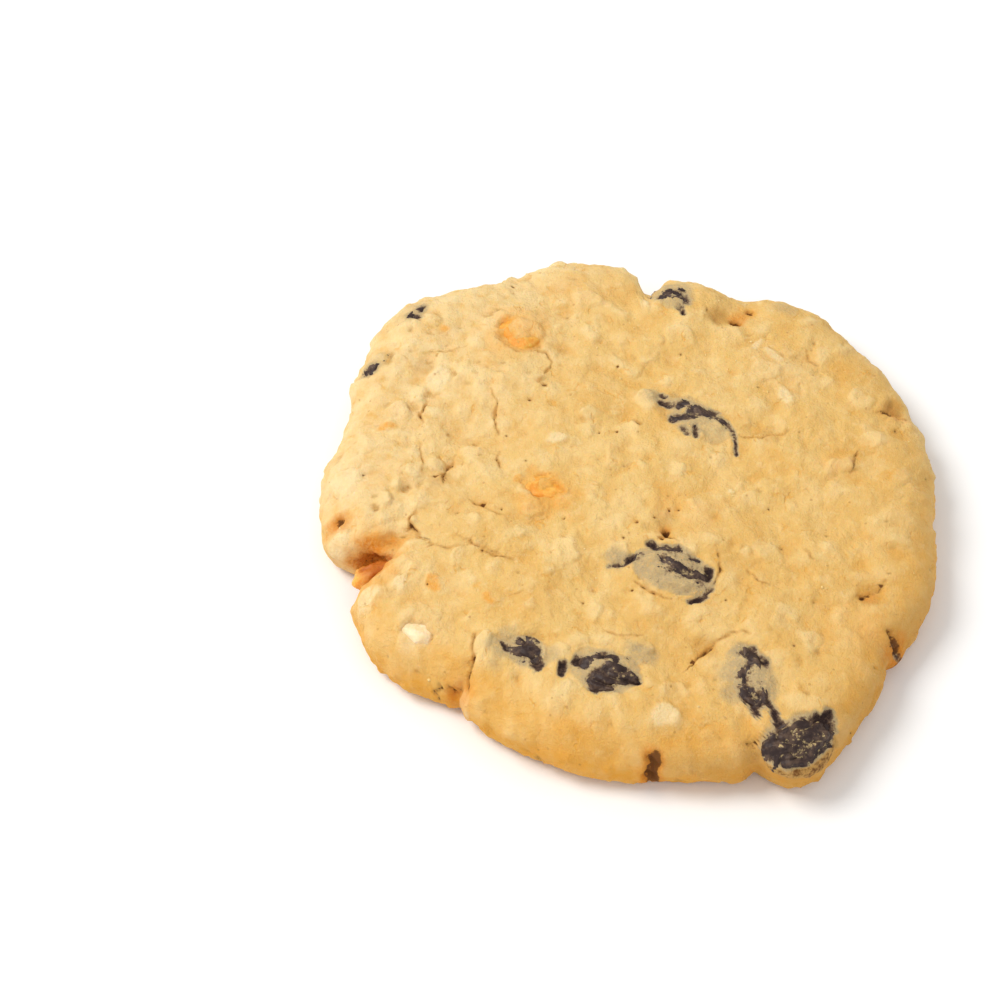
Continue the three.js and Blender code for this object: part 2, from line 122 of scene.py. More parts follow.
# Splits down the side: half-width, depth, direction in degrees, and the heights they run between.
SIDE_SPLITS = [
    (0.85, 1.4, 273.0, (1.0, 7.0)),
    (0.34, 0.9, 278.6, (0.9, 2.8)),
    (0.22, 0.7, 251.0, (1.2, 3.6)),
    (0.20, 0.7, 226.0, (2.0, 6.0)),
    (0.24, 0.8, 150.0, (1.4, 5.2)),
    (0.24, 0.8, 40.0, (1.4, 5.0)),
    (0.20, 0.7, 8.0, (1.6, 4.4)),
    (0.22, 0.7, 112.0, (1.2, 4.8)),
]
# Holes where a crumb fell out: place, radius, depth, and darkness, the painted shade in the hole.
HOLES = [
    ((15.1, 30.6), 0.70, 1.5, 0.9),
    ((17.2, 33.0), 0.50, 1.0, 0.9),
    ((-19.0, -0.5), 0.40, 0.6, 1.0),
    ((-38.0, -1.6), 0.90, 0.9, 0.7),
    ((-33.8, -6.6), 1.90, 1.9, 0.38),
    ((-32.6, -6.4), 1.40, 1.6, 0.46),
    ((-34.4, -8.4), 1.60, 1.4, 0.36),
    ((7.4, -24.6), 0.25, 0.5, 1.0),
    ((-1.5, 11.0), 0.22, 0.4, 1.0),
    ((-12.9, 16.6), 0.25, 0.5, 1.0),
    ((4.5, -5.5), 0.60, 1.1, 0.85),
    ((4.0, -6.5), 0.40, 0.8, 0.8),
    ((5.1, -1.9), 0.24, 0.5, 0.9),
    ((0.9, -3.8), 0.30, 0.5, 0.8),
    ((3.1, -3.2), 0.20, 0.4, 0.8),
    ((29.5, -14.4), 0.40, 0.6, 1.0),
    ((34.1, -20.4), 0.80, 0.9, 0.85),
    ((-10.9, 19.0), 0.35, 0.7, 1.0),
]

# Soft hollows, with painted shade in them: place, radius, depth.
HOLLOWS = [
    ((36.0, 16.9), 2.3, 0.65),
    ((-22.9, -27.6), 1.7, 0.45),
    ((13.0, 31.4), 1.8, 0.50),
    ((4.4, -4.2), 1.5, 0.30),
    ((2.2, -4.6), 1.2, 0.20),
    ((30.8, -13.8), 2.2, 0.35),
    ((34.2, -19.4), 2.4, 0.60),
    ((-12.4, -21.6), 1.8, 0.30),
    ((-30.8, -5.2), 2.2, 0.40),
    ((18.6, 10.4), 2.4, 0.25),
    ((-26.8, 22.6), 2.2, 0.35),
    ((9.6, -22.4), 2.6, 0.35),
]

# The raisins: how thin the dough over each is, from 0, thick, to 1, a dusting; and where the raisin is bare,
# as the half-width of a stroke and its route as x, y.
RAISINS = {
    "raisin_upper": (0.62, [
        (0.36, [(4.7, 17.2), (5.1, 16.9)]),
        (0.50, [(4.9, 15.6), (5.7, 15.2)]),
        (0.36, [(6.0, 13.0), (7.6, 13.2), (8.6, 13.9)]),
        (0.74, [(8.6, 13.9), (9.8, 14.4), (11.4, 13.8)]),
        (0.26, [(6.8, 15.0), (7.8, 15.8)]),
        (0.26, [(11.8, 13.7), (13.1, 12.7)]),
        (0.20, [(13.2, 12.5), (14.0, 11.2), (14.3, 9.4), (14.3, 7.6)]),
        (0.18, [(8.9, 11.8), (9.0, 10.0)]),
        (0.22, [(7.4, 11.4), (7.9, 10.4)]),
    ]),
    "raisin_middle": (1.0, [
        (0.38, [(2.3, -7.2), (3.6, -8.0), (5.9, -8.4)]),
        (0.52, [(4.4, -10.5), (5.6, -11.5), (7.0, -12.1), (8.6, -12.6)]),
        (0.46, [(8.6, -12.6), (9.8, -13.0), (9.9, -11.6)]),
        (0.36, [(7.4, -16.2), (8.9, -15.7), (10.0, -14.4)]),
        (0.22, [(-2.8, -10.3), (-1.0, -10.3), (-0.3, -9.9)]),
        (0.46, [(-0.4, -9.9), (0.2, -9.2)]),
        (0.16, [(7.6, -9.6), (8.6, -10.2)]),
    ]),
    "raisin_front_left": (0.85, [
        (0.30, [(-16.6, -22.0), (-15.9, -22.9)]),
        (0.42, [(-15.9, -22.9), (-14.6, -23.4)]),
        (0.85, [(-13.2, -22.6), (-12.6, -23.8), (-12.0, -25.2)]),
        (0.34, [(-14.4, -21.9), (-13.2, -21.7)]),
    ]),
    "raisin_front": (0.85, [
        (0.75, [(-6.9, -25.0), (-6.2, -25.7)]),
        (0.28, [(-5.4, -24.8), (-3.4, -24.4), (-2.2, -25.0), (-2.4, -25.9)]),
        (1.15, [(-4.6, -27.4), (-3.0, -26.9), (-1.3, -27.4)]),
        (0.60, [(-5.0, -28.9), (-3.4, -28.7)]),
        (0.55, [(-0.8, -27.6), (0.4, -28.0)]),
        (0.40, [(-8.9, -25.3), (-9.2, -26.8)]),
    ]),
    "raisin_front_right": (0.95, [
        (0.80, [(14.7, -23.4), (15.6, -24.7)]),
        (0.50, [(15.2, -25.0), (16.5, -25.0)]),
        (0.26, [(14.6, -25.4), (13.8, -26.4), (13.8, -28.4), (14.2, -29.4)]),
        (0.90, [(14.4, -30.0), (15.0, -30.9)]),
        (0.40, [(14.8, -31.6), (15.2, -32.6)]),
        (0.36, [(15.6, -30.0), (16.7, -30.7), (17.4, -32.2), (17.8, -33.8)]),
    ]),
    "raisin_lobe": (1.2, [
        (0.50, [(17.5, -32.4), (17.9, -34.0), (18.2, -35.6)]),
        (1.80, [(18.0, -36.8), (20.2, -36.8), (22.2, -35.6)]),
        (1.30, [(21.4, -34.8), (23.0, -33.6)]),
        (1.20, [(22.8, -35.4), (23.8, -34.0)]),
        (0.80, [(23.4, -33.0), (24.3, -32.2)]),
    ]),
    "raisin_back_edge": (0.7, [
        (0.24, [(5.2, 34.6), (6.4, 35.4), (8.0, 34.9)]),
        (0.36, [(8.2, 34.6), (8.4, 33.4), (7.6, 32.6)]),
        (0.20, [(7.9, 31.9), (8.1, 31.1)]),
    ]),
    "raisin_back_left": (0.45, [
        (0.24, [(-27.4, 33.4), (-27.7, 32.6)]),
        (0.32, [(-28.8, 31.7), (-27.8, 31.3)]),
    ]),
    "raisin_left_edge": (0.45, [
        (0.26, [(-34.8, 22.7), (-33.8, 23.3)]),
    ]),
    "raisin_right_edge": (0.15, [
        (0.30, [(34.0, -20.2), (34.5, -20.9)]),
    ]),
}
# The dough comes up from below over these raisins, to this height.
LOWEST_BARE = {"raisin_lobe": 7.0}
# The other pieces that the dough is drawn over: the mask that tints the dough there, and where they are bare.
SUNK_PIECES = {
    "apricot_back": ("orange", [
        (0.75, [(-16.4, 27.4), (-15.2, 25.8), (-13.4, 25.3), (-12.0, 26.0)]),
        (0.45, [(-16.8, 29.0), (-16.0, 30.0)]),
    ]),
    "apricot_middle": ("orange", [
        (0.85, [(-12.6, 1.9), (-11.6, 1.0), (-10.4, 1.3)]),
        (0.45, [(-9.6, 2.6), (-8.9, 1.4)]),
        (0.35, [(-12.0, 3.6), (-11.0, 3.9)]),
    ]),
    "nut_left": ("cream", [
        (1.30, [(-28.3, -19.2), (-27.3, -19.8)]),
        (0.70, [(-26.6, -20.8), (-25.8, -20.6)]),
    ]),
}

# Flakes at known places: x, y, length, width, turn in degrees, lift, and the mask that tints them, if any.
FLAKES = [
    (21.2, 17.4, 3.7, 2.0, 105, 0.35, "cream"),
    (20.0, 24.4, 4.4, 1.5, 130, 0.30, "cream"),
    (17.9, 26.4, 3.0, 1.2, 60, 0.25, "cream"),
    (3.7, -32.6, 4.2, 3.3, 10, 0.40, "cream"),
    (13.2, 1.2, 1.0, 0.8, 0, 0.30, "cream"),
    (-37.0, 3.9, 4.6, 3.6, 60, 0.40, "cream"),
    (-37.8, -4.6, 3.6, 2.8, 80, 0.35, "cream"),
    (-9.4, 9.6, 3.2, 1.6, 15, 0.25, "cream"),
    (26.3, -17.0, 2.8, 1.8, 40, 0.25, None),
    (-25.0, 20.4, 4.4, 3.4, 70, 0.32, "cream"),
    (-5.0, -17.6, 3.0, 2.2, 60, 0.25, None),
    (-9.0, -28.9, 3.0, 2.0, 60, 0.30, None),
    (-18.9, -22.0, 3.6, 2.0, 80, 0.45, None),
    (-22.6, -29.0, 3.4, 2.6, 70, 0.35, "cream"),
    (22.6, -21.6, 3.6, 2.8, 60, 0.35, None),
    (2.6, 16.4, 3.8, 3.0, 100, 0.45, None),
    (2.8, 33.4, 1.6, 1.4, 0, 0.50, "cream"),
    (-26.6, 14.6, 3.6, 2.8, 30, 0.18, None),
    (-20.6, 4.6, 4.4, 3.4, 40, 0.25, None),
    (18.6, 21.6, 4.6, 3.4, 20, 0.30, None),
    (31.4, 17.2, 3.8, 2.8, 150, 0.45, None),
    (-33.4, -13.8, 4.0, 3.0, 60, 0.30, "cream"),
    (-29.8, -12.6, 2.6, 1.8, 100, 0.35, "cream"),
    (-25.4, -12.6, 3.4, 2.2, 110, 0.22, "orange"),
    (-18.4, -15.4, 2.6, 1.4, 120, 0.20, "orange"),
    (-24.4, 29.0, 1.6, 1.2, 0, 0.15, "orange"),
    (-8.6, 1.0, 1.8, 1.2, 30, 0.25, "orange"),
    (-14.6, 3.4, 2.0, 1.2, 60, 0.25, "orange"),
    (-32.0, 12.6, 3.0, 1.6, 20, 0.15, "orange"),
]
# Marks on the dough: the mask, x, y, radius and strength. Those that darken towards the hollow or amber
# colour are painted shade in hollows, cracks and crevices; the others are the dough's own colour.
TINTS_AND_SHADE = [
    ("amber_shade", -33.6, -7.6, 4.2, 1.0),
    ("amber_shade", -38.2, -1.6, 2.2, 0.8),
    ("orange", -33.6, -7.4, 6.0, 0.8),
    ("amber_shade", 15.6, 31.4, 1.7, 0.6),
    ("orange", 16.9, 32.8, 2.6, 0.5),
    ("cream", -37.0, 4.2, 4.6, 0.8),
    ("cream", -37.4, -4.9, 3.4, 0.7),
    ("cream", -26.4, -18.6, 5.0, 0.4),
    ("cream", 20.6, 22.0, 6.0, 0.35),
    ("veil", 22.0, 33.8, 2.6, 0.22),
    ("orange", -11.0, 0.4, 4.8, 0.75),
    ("orange", -14.8, 28.4, 5.8, 0.55),
    ("amber_shade", 34.6, -20.8, 3.2, 0.9),
    ("amber_shade", 2.2, -37.4, 2.2, 0.9),
    ("amber_shade", 35.8, 15.8, 2.4, 0.35),
    ("amber_shade", -22.9, -27.4, 2.0, 0.75),
    ("veil", 12.5, -26.2, 3.6, 0.30),
    ("veil", 12.4, -29.4, 2.8, 0.28),
    ("veil", 0.6, -24.0, 3.0, 0.30),
    ("veil", -16.6, -22.6, 3.0, 0.30),
    ("veil", -10.4, -24.0, 2.2, 0.26),
    ("veil", -1.6, -9.4, 2.6, 0.32),
    ("veil", 3.6, 17.0, 2.4, 0.30),
    ("crease", 4.4, -3.6, 3.2, 0.26),
    ("crease", 2.5, -37.1, 1.25, 0.85),
    ("crease", 30.8, -14.4, 2.6, 0.26),
    ("crease", 33.8, -19.8, 1.6, 0.62),
    ("crease", -24.4, 3.6, 2.4, 0.26),
    ("crease", 12.4, 31.4, 2.6, 0.34),
    ("orange", -20.6, -27.6, 1.8, 0.6),
    ("veil", -16.0, -21.0, 2.2, 0.25),
    ("orange", 5.0, -0.6, 3.4, 0.40),
    ("amber_shade", 4.5, -5.4, 1.5, 0.30),
    ("amber_shade", 30.6, -14.4, 1.6, 0.40),
    ("amber_shade", -22.0, -27.0, 3.0, 0.40),
    ("orange", 9.0, -4.0, 4.0, 0.25),
    ("orange", 30.0, -20.0, 4.0, 0.35),
    ("orange", 27.0, 6.0, 3.0, 0.30),
    ("orange", -9.0, -35.0, 6.0, 0.30),
]

# ---------------------------------------------------------------- fineness, counts and reaches

TOP_RINGS = 118  # ring k of the top holds 6 k points, so they are evenly spaced
SIDE_RINGS = 44
BASE_RING_STEP = 2  # the base leaves out every other ring
SPINE_SHARE = 0.80  # how far out the ring inside the dough lies, from which the side's points are looked for
SPINE_HEIGHT = 4.6
SINK = 0.25  # how much lower the fruit and the nut lie than their solids, under the dough drawn over them
FAR = 30.0  # how far from a start inside the dough the rays begin that look for its surface
OUTSIDE = 70.0  # how far from the middle a ray begins that has to be outside the dough
FORM_ROUNDS = 22  # rounds of smoothing that take the solid's flat faces out of the skin
FLAKE_KINDS = ((640, 1.0), (900, 0.45))  # how many scattered oats there are of each kind, and its scale
DENT_COUNT = 260
PORE_COUNT = 150
CRUMB_COUNT = 70
DRAPE_REACH = 10.0  # how far from a piece's middle the dough is drawn over it
LOWEST_FRUIT = -1.5  # a piece further below the skin than this doesn't show in it
SUNK_THINNESS = 0.6  # how thin the dough is over the apricot and the nut
BELOW_ALL = -1.0  # a height below the whole cookie
FLATTEN = np.array([1.0, 1.0, 0.35])  # a height counts less from a stroke, so that it runs down a side
RAISIN_FINENESS = 6
SMALL_RAISIN_FINENESS = 5
PIECE_FINENESS = 5
CRUMB_FINENESS = 2


# ---------------------------------------------------------------- settings

def length(name, description, millimetres):
    """A length that a user can change, given in millimetres."""
    return FloatProperty(
        name=name, description=description, default=millimetres * MM, min=0.0, unit="LENGTH", precision=5
    )


def colour(name, description, default):
    return FloatVectorProperty(
        name=name, description=description, default=default, size=3, min=0.0, max=1.0, subtype="COLOR"
    )


class DoughSettings(PropertyGroup):
    """Sizes and colours of the baked dough."""

    lump_height: length("Lump height", "Height of the soft lumps in the skin", 0.30)
    flake_lift: length("Flake lift", "How far an oat flake stands out of the skin at most", 0.55)
    flake_length: length("Flake length", "Mean length of an oat flake", 4.6)
    grain_height: length("Grain height", "Height of the fine grain of the skin", 0.10)
    film_thickness: length("Film thickness", "Dough left over a raisin away from where it shows", 0.30)
    golden: colour("Golden dough", "The middle colour of the top", (0.85, 0.55, 0.185))
    # Pale and tan are the dough's own colours, and are also laid on raised and low places as painted light
    # and shade.
    pale: colour("Pale dough", "The raised oats of the top", (0.95, 0.70, 0.33))
    tan: colour("Tan dough", "The hollows between the oats", (0.78, 0.42, 0.095))
    cream: colour("Cream", "The palest oats", (0.98, 0.77, 0.44))
    # Toasted is the browned edge, and also painted shade on the front and right of the rim and in the hair
    # cracks.
    toasted: colour("Toasted dough", "The rim", (0.83, 0.37, 0.032))
    underside: colour("Underside", "The browned base", (0.46, 0.20, 0.045))
    hollow: colour("Hollow", "The shaded dents between the oats", (0.52, 0.28, 0.075))
    # Painted shade inside the cracks.
    crack: colour("Crack", "The inside of a crack", (0.17, 0.060, 0.011))
    thin: colour("Thin dough", "Thin dough with a raisin under it", (0.56, 0.41, 0.21))
    dusky: colour("Dusky dough", "Dough rubbed thin on a raisin", (0.25, 0.16, 0.088))
    orange: colour("Orange tint", "Dough over a piece of apricot", (0.89, 0.41, 0.065))
    # Painted shade, warm, in holes, crevices and the notch.
    amber_shade: colour("Amber", "Dough soaked by baked fruit", (0.74, 0.24, 0.012))


class RaisinSettings(PropertyGroup):
    """Sizes and colours of the raisins."""

    fold_depth: length("Fold depth", "Depth of the long folds of a raisin", 0.55)
    crinkle_depth: length("Crinkle depth", "Depth of the fine crinkles between the folds", 0.10)
    skin: colour("Skin", "The dark skin of a raisin", (0.034, 0.017, 0.014))
    bloom: colour("Bloom", "The greyer skin on top of a fold", (0.125, 0.074, 0.048))
    flour: colour("Flour", "Dough dust caught in the folds", (0.60, 0.44, 0.20))


class FruitSettings(PropertyGroup):
    """Sizes and colours of the dried apricot and the nut."""

    apricot: colour("Apricot", "The orange of dried apricot", (0.86, 0.33, 0.03))
    apricot_deep: colour("Deep apricot", "Apricot soaked into the dough round it", (0.52, 0.14, 0.008))
    apricot_light: colour("Light apricot", "The lighter flesh of dried apricot", (0.95, 0.52, 0.10))
    nut: colour("Nut", "The pale flesh of the nut piece", (0.97, 0.78, 0.50))
    nut_edge: colour("Nut edge", "The darker flesh of the nut piece", (0.94, 0.66, 0.34))
    lump_depth: length("Lump depth", "Unevenness of a cut piece", 0.50)


class StageSettings(PropertyGroup):
    """The floor, the lights and the camera."""

    floor_size: FloatProperty(
        name="Floor size", description="Width of the floor", default=4.0, min=0.5, unit="LENGTH"
    )
    floor_colour: colour("Floor colour", "Colour of the plain floor", (0.97, 0.97, 0.97))
    sky_strength: FloatProperty(
        name="Sky strength", description="Brightness of the light from all round", default=0.66, min=0.0
    )
    key_power: FloatProperty(
        name="Key power", description="Power of the large soft light", default=4.6, min=0.0, unit="POWER"
    )
    lens: FloatProperty(name="Lens", description="Focal length in millimetres", default=120.0, min=10.0)


# ---------------------------------------------------------------- numbers

def smoothstep(low, high, values):
    t = np.clip((values - low) / (high - low), 0.0, 1.0)
    return t * t * (3.0 - 2.0 * t)


def unit(vectors):
    return vectors / np.maximum(np.linalg.norm(vectors, axis=-1, keepdims=True), 1e-12)


def grain(points, size, shift=0.0):
    """Noise between about -1 and 1 at each point, with features of that size in mm."""
    return np.array([noise.noise(p) for p in (points / size + shift).tolist()])


def layered_grain(points, size, layers, shift=0.0):
    """Noise with finer layers, each half the size and half the height of the one before."""
    return sum(grain(points, size / 2**i, shift + 7.3 * i) / 2**i for i in range(layers))


def mesh_arrays(thing):
    """An object's points in mm and its triangles."""
    mesh = thing.data
    points = np.zeros(len(mesh.vertices) * 3)
    mesh.vertices.foreach_get("co", points)
    mesh.calc_loop_triangles()
    faces = np.zeros(len(mesh.loop_triangles) * 3, int)
    mesh.loop_triangles.foreach_get("vertices", faces)
    return points.reshape(-1, 3) / MM, faces.reshape(-1, 3)


def tree_of(*shapes):
    """A tree for rays, of one or more (points, faces)."""
    counts = np.cumsum([0] + [len(points) for points, _ in shapes])
    points = np.concatenate([points for points, _ in shapes])
    faces = np.concatenate([faces + first for first, (_, faces) in zip(counts, shapes)])
    return BVHTree.FromPolygons(points.tolist(), faces.tolist())


def outermost(tree, starts, ways, far=FAR):
    """How far along each way the tree's surface lies, seen from outside, or nan where it is missed."""
    origins = (starts + ways * far).tolist()
    hits = (tree.ray_cast(origin, way) for origin, way in zip(origins, (-ways).tolist()))
    return np.array([math.nan if hit[3] is None else far - hit[3] for hit in hits])


def spread_out(points, count, draws, tries=8):
    """Numbers of points that lie well apart: each is the loneliest of a few draws."""
    chosen = [int(draws.integers(len(points)))]
    nearest = np.linalg.norm(points - points[chosen[0]], axis=1)
    while len(chosen) < count:
        candidates = draws.integers(len(points), size=tries)
        best = int(candidates[np.argmax(nearest[candidates])])
        chosen.append(best)
        nearest = np.minimum(nearest, np.linalg.norm(points - points[best], axis=1))
    return chosen


def distance_to_route(points, route):
    """Distance of each point from a route, and how far along it the nearest place is, from 0 to 1."""
    route = np.asarray(route, float)
    steps = np.linalg.norm(np.diff(route, axis=0), axis=1)
    starts = np.concatenate([[0.0], np.cumsum(steps)])
    best = np.full(len(points), np.inf)
    along = np.zeros(len(points))
    for a, b, step, start in zip(route, route[1:], steps, starts):
        t = np.clip((points - a) @ (b - a) / max(step * step, 1e-9), 0.0, 1.0)
        distance = np.linalg.norm(points - (a + t[:, None] * (b - a)), axis=1)
        nearer = distance < best
        best[nearer] = distance[nearer]
        along[nearer] = (start + t[nearer] * step) / starts[-1]
    return best, along


# ---------------------------------------------------------------- the dough's skin

class Skin:
    """The dough's surface as rings of points, from the middle of the top to the middle of the base."""

    def __init__(self, points, faces):
        self.points = points
        self.faces = faces
        self.ends = np.concatenate([faces[:, [0, 1]], faces[:, [1, 2]], faces[:, [2, 0]]])
        self.valence = np.bincount(self.ends[:, 0], minlength=len(points))

    def mean_round(self, values):
        """For each point, the mean of its neighbours' values."""
        total = np.bincount(self.ends[:, 0], values[self.ends[:, 1]], len(values))
        return total / self.valence

    def smoothed(self, values, rounds):
        for _ in range(rounds):
            values = 0.5 * values + 0.5 * self.mean_round(values)
        return values

    def ways_out(self):
        corners = self.points[self.faces]
        across = np.cross(corners[:, 1] - corners[:, 0], corners[:, 2] - corners[:, 0])
        flat = self.faces.ravel()
        spread = np.repeat(across, 3, axis=0)
        return unit(np.stack([np.bincount(flat, spread[:, i], len(self.points)) for i in range(3)], axis=1))


def stitch(inner, outer):
    """The triangles between two rings, each given by its first point's number and its count."""
    (first_in, count_in), (first_out, count_out) = inner, outer
    steps_in = count_in if count_in > 1 else 0
    steps_out = count_out if count_out > 1 else 0
    i = j = 0
    faces = []
    while i < steps_in or j < steps_out:
        a, b = first_in + i % count_in, first_out + j % count_out
        if i >= steps_in or (j < steps_out and (j + 1) * count_in <= (i + 1) * count_out):
            j += 1
            faces.append((a, b, first_out + j % count_out))
        else:
            i += 1
            faces.append((a, b, first_in + i % count_in))
    return faces


def circle(count):
    angles = np.arange(count) * 2.0 * math.pi / count
    return angles, np.stack([np.cos(angles), np.sin(angles)], axis=1)


class Outline:
    """How far the solid dough reaches from its middle in each direction, with and without its splits."""

    SAMPLES = 1440
    HEIGHTS = (2.4, 3.2, 4.2)
    SPLIT_SPAN = 2.6  # degrees each way that a split of the side alone is left out
    SMOOTHING = 45  # samples each way that the outline without splits is smoothed over

    def __init__(self, tree):
        self.angles, radial = circle(self.SAMPLES)
        ways = np.column_stack([radial, np.zeros(self.SAMPLES)])
        middles = [np.tile([*MIDDLE, height], (self.SAMPLES, 1)) for height in self.HEIGHTS]
        self.reach = np.max([outermost(tree, starts, ways, OUTSIDE) for starts in middles], axis=0)
        for _, _, direction, _ in SIDE_SPLITS:
            turn = np.degrees(self.angles) - direction
            split = np.abs((turn + 180.0) % 360.0 - 180.0) < self.SPLIT_SPAN
            self.reach[split] = np.interp(self.angles[split], self.angles[~split], self.reach[~split])
        wrapped = np.concatenate([self.reach[-self.SMOOTHING:], self.reach, self.reach[: self.SMOOTHING]])
        kernel = np.hanning(2 * self.SMOOTHING + 1)
        self.whole = np.convolve(wrapped, kernel / kernel.sum(), "valid")

    def radius(self, angles, part):
        """The radius at a part of the way out, where the splits fade towards the middle."""
        reach = np.interp(angles, self.angles, self.reach, period=2.0 * math.pi)
        whole = np.interp(angles, self.angles, self.whole, period=2.0 * math.pi)
        return whole * part + (reach - whole) * smoothstep(0.4, 1.0, part)


def fan_angles(tree, outline):
    """Angles over the side, from straight up to straight down, that space its rings evenly."""
    trial = np.linspace(math.pi / 2, -math.pi / 2, 181)
    angles, radial = circle(48)
    feet = radial * outline.radius(angles, SPINE_SHARE)[:, None] + MIDDLE
    profile = []
    for tilt in trial:
        ways = np.column_stack([radial * math.cos(tilt), np.full(len(angles), math.sin(tilt))])
        starts = np.column_stack([feet, np.full(len(angles), SPINE_HEIGHT)])
        far = np.nanmedian(outermost(tree, starts, ways))
        profile.append((far * math.cos(tilt), far * math.sin(tilt)))
    steps = np.linalg.norm(np.diff(profile, axis=0), axis=1)
    along = np.concatenate([[0.0], np.cumsum(steps)])
    return np.interp(np.linspace(0.0, along[-1], SIDE_RINGS + 2)[1:-1], along, trial)


def draw_towards_cracks(places):
    """Moves places of the top towards the cracks, so that the mesh is finest there."""
    reach, closeness, step = 1.5, 0.6, 1e-3
    for _, _, route in CRACKS:
        route = np.asarray(route) + MIDDLE
        half = np.ptp(route, axis=0) / 2 + reach
        near = np.where(np.all(np.abs(places - route.mean(0)) < half, axis=1))[0]
        distance, _ = distance_to_route(places[near], route)
        beside = [distance_to_route(places[near] + shift, route)[0] for shift in ([step, 0.0], [0.0, step])]
        part = np.clip(distance / reach, 1e-6, 1.0)
        inward = closeness * part * (1.0 - part**2) ** 2 * reach
        places[near] -= unit(np.stack(beside, axis=1) - distance[:, None]) * inward[:, None]
    return places


def make_skin(dough_tree):
    """Rings over the solid dough, with its flat faces smoothed out."""
    outline = Outline(dough_tree)
    feet, ways, rings = [], [], []
    up = np.array([0.0, 0.0, 1.0])

    def add_ring(places, directions):
        rings.append((sum(len(f) for f in feet), len(places)))
        feet.append(np.column_stack([places, np.full(len(places), SPINE_HEIGHT)]))
        ways.append(directions)

    def level_ring(k):
        angles, radial = circle(6 * k)
        return radial * outline.radius(angles, SPINE_SHARE * k / TOP_RINGS)[:, None] + MIDDLE

    add_ring(MIDDLE[None, :].copy(), up[None, :])
    for k in range(1, TOP_RINGS + 1):
        places = draw_towards_cracks(level_ring(k)) if k < TOP_RINGS else level_ring(k)
        add_ring(places, np.tile(up, (6 * k, 1)))
    _, radial = circle(6 * TOP_RINGS)
    spine = level_ring(TOP_RINGS)
    for tilt in fan_angles(dough_tree, outline):
        add_ring(spine, np.column_stack([radial * math.cos(tilt), np.full(len(spine), math.sin(tilt))]))
    for k in range(TOP_RINGS, 0, -BASE_RING_STEP):
        add_ring(level_ring(k), np.tile(-up, (6 * k, 1)))
    add_ring(MIDDLE[None, :].copy(), -up[None, :])

    feet, ways = np.concatenate(feet), np.concatenate(ways)
    faces = np.array([face for inner, outer in zip(rings, rings[1:]) for face in stitch(inner, outer)])
    far = outermost(dough_tree, feet, ways)
    far = np.where(np.isnan(far), np.nanmedian(far), far)
    skin = Skin(feet + ways * far[:, None], faces)
    points_down = ways[:, 2] <= -0.999
    far = np.where(points_down, far, skin.smoothed(far, FORM_ROUNDS))
    skin.points = feet + ways * far[:, None]
    skin.first_base = rings[TOP_RINGS + 1 + SIDE_RINGS][0]
    return skin


# ---------------------------------------------------------------- relief of the dough

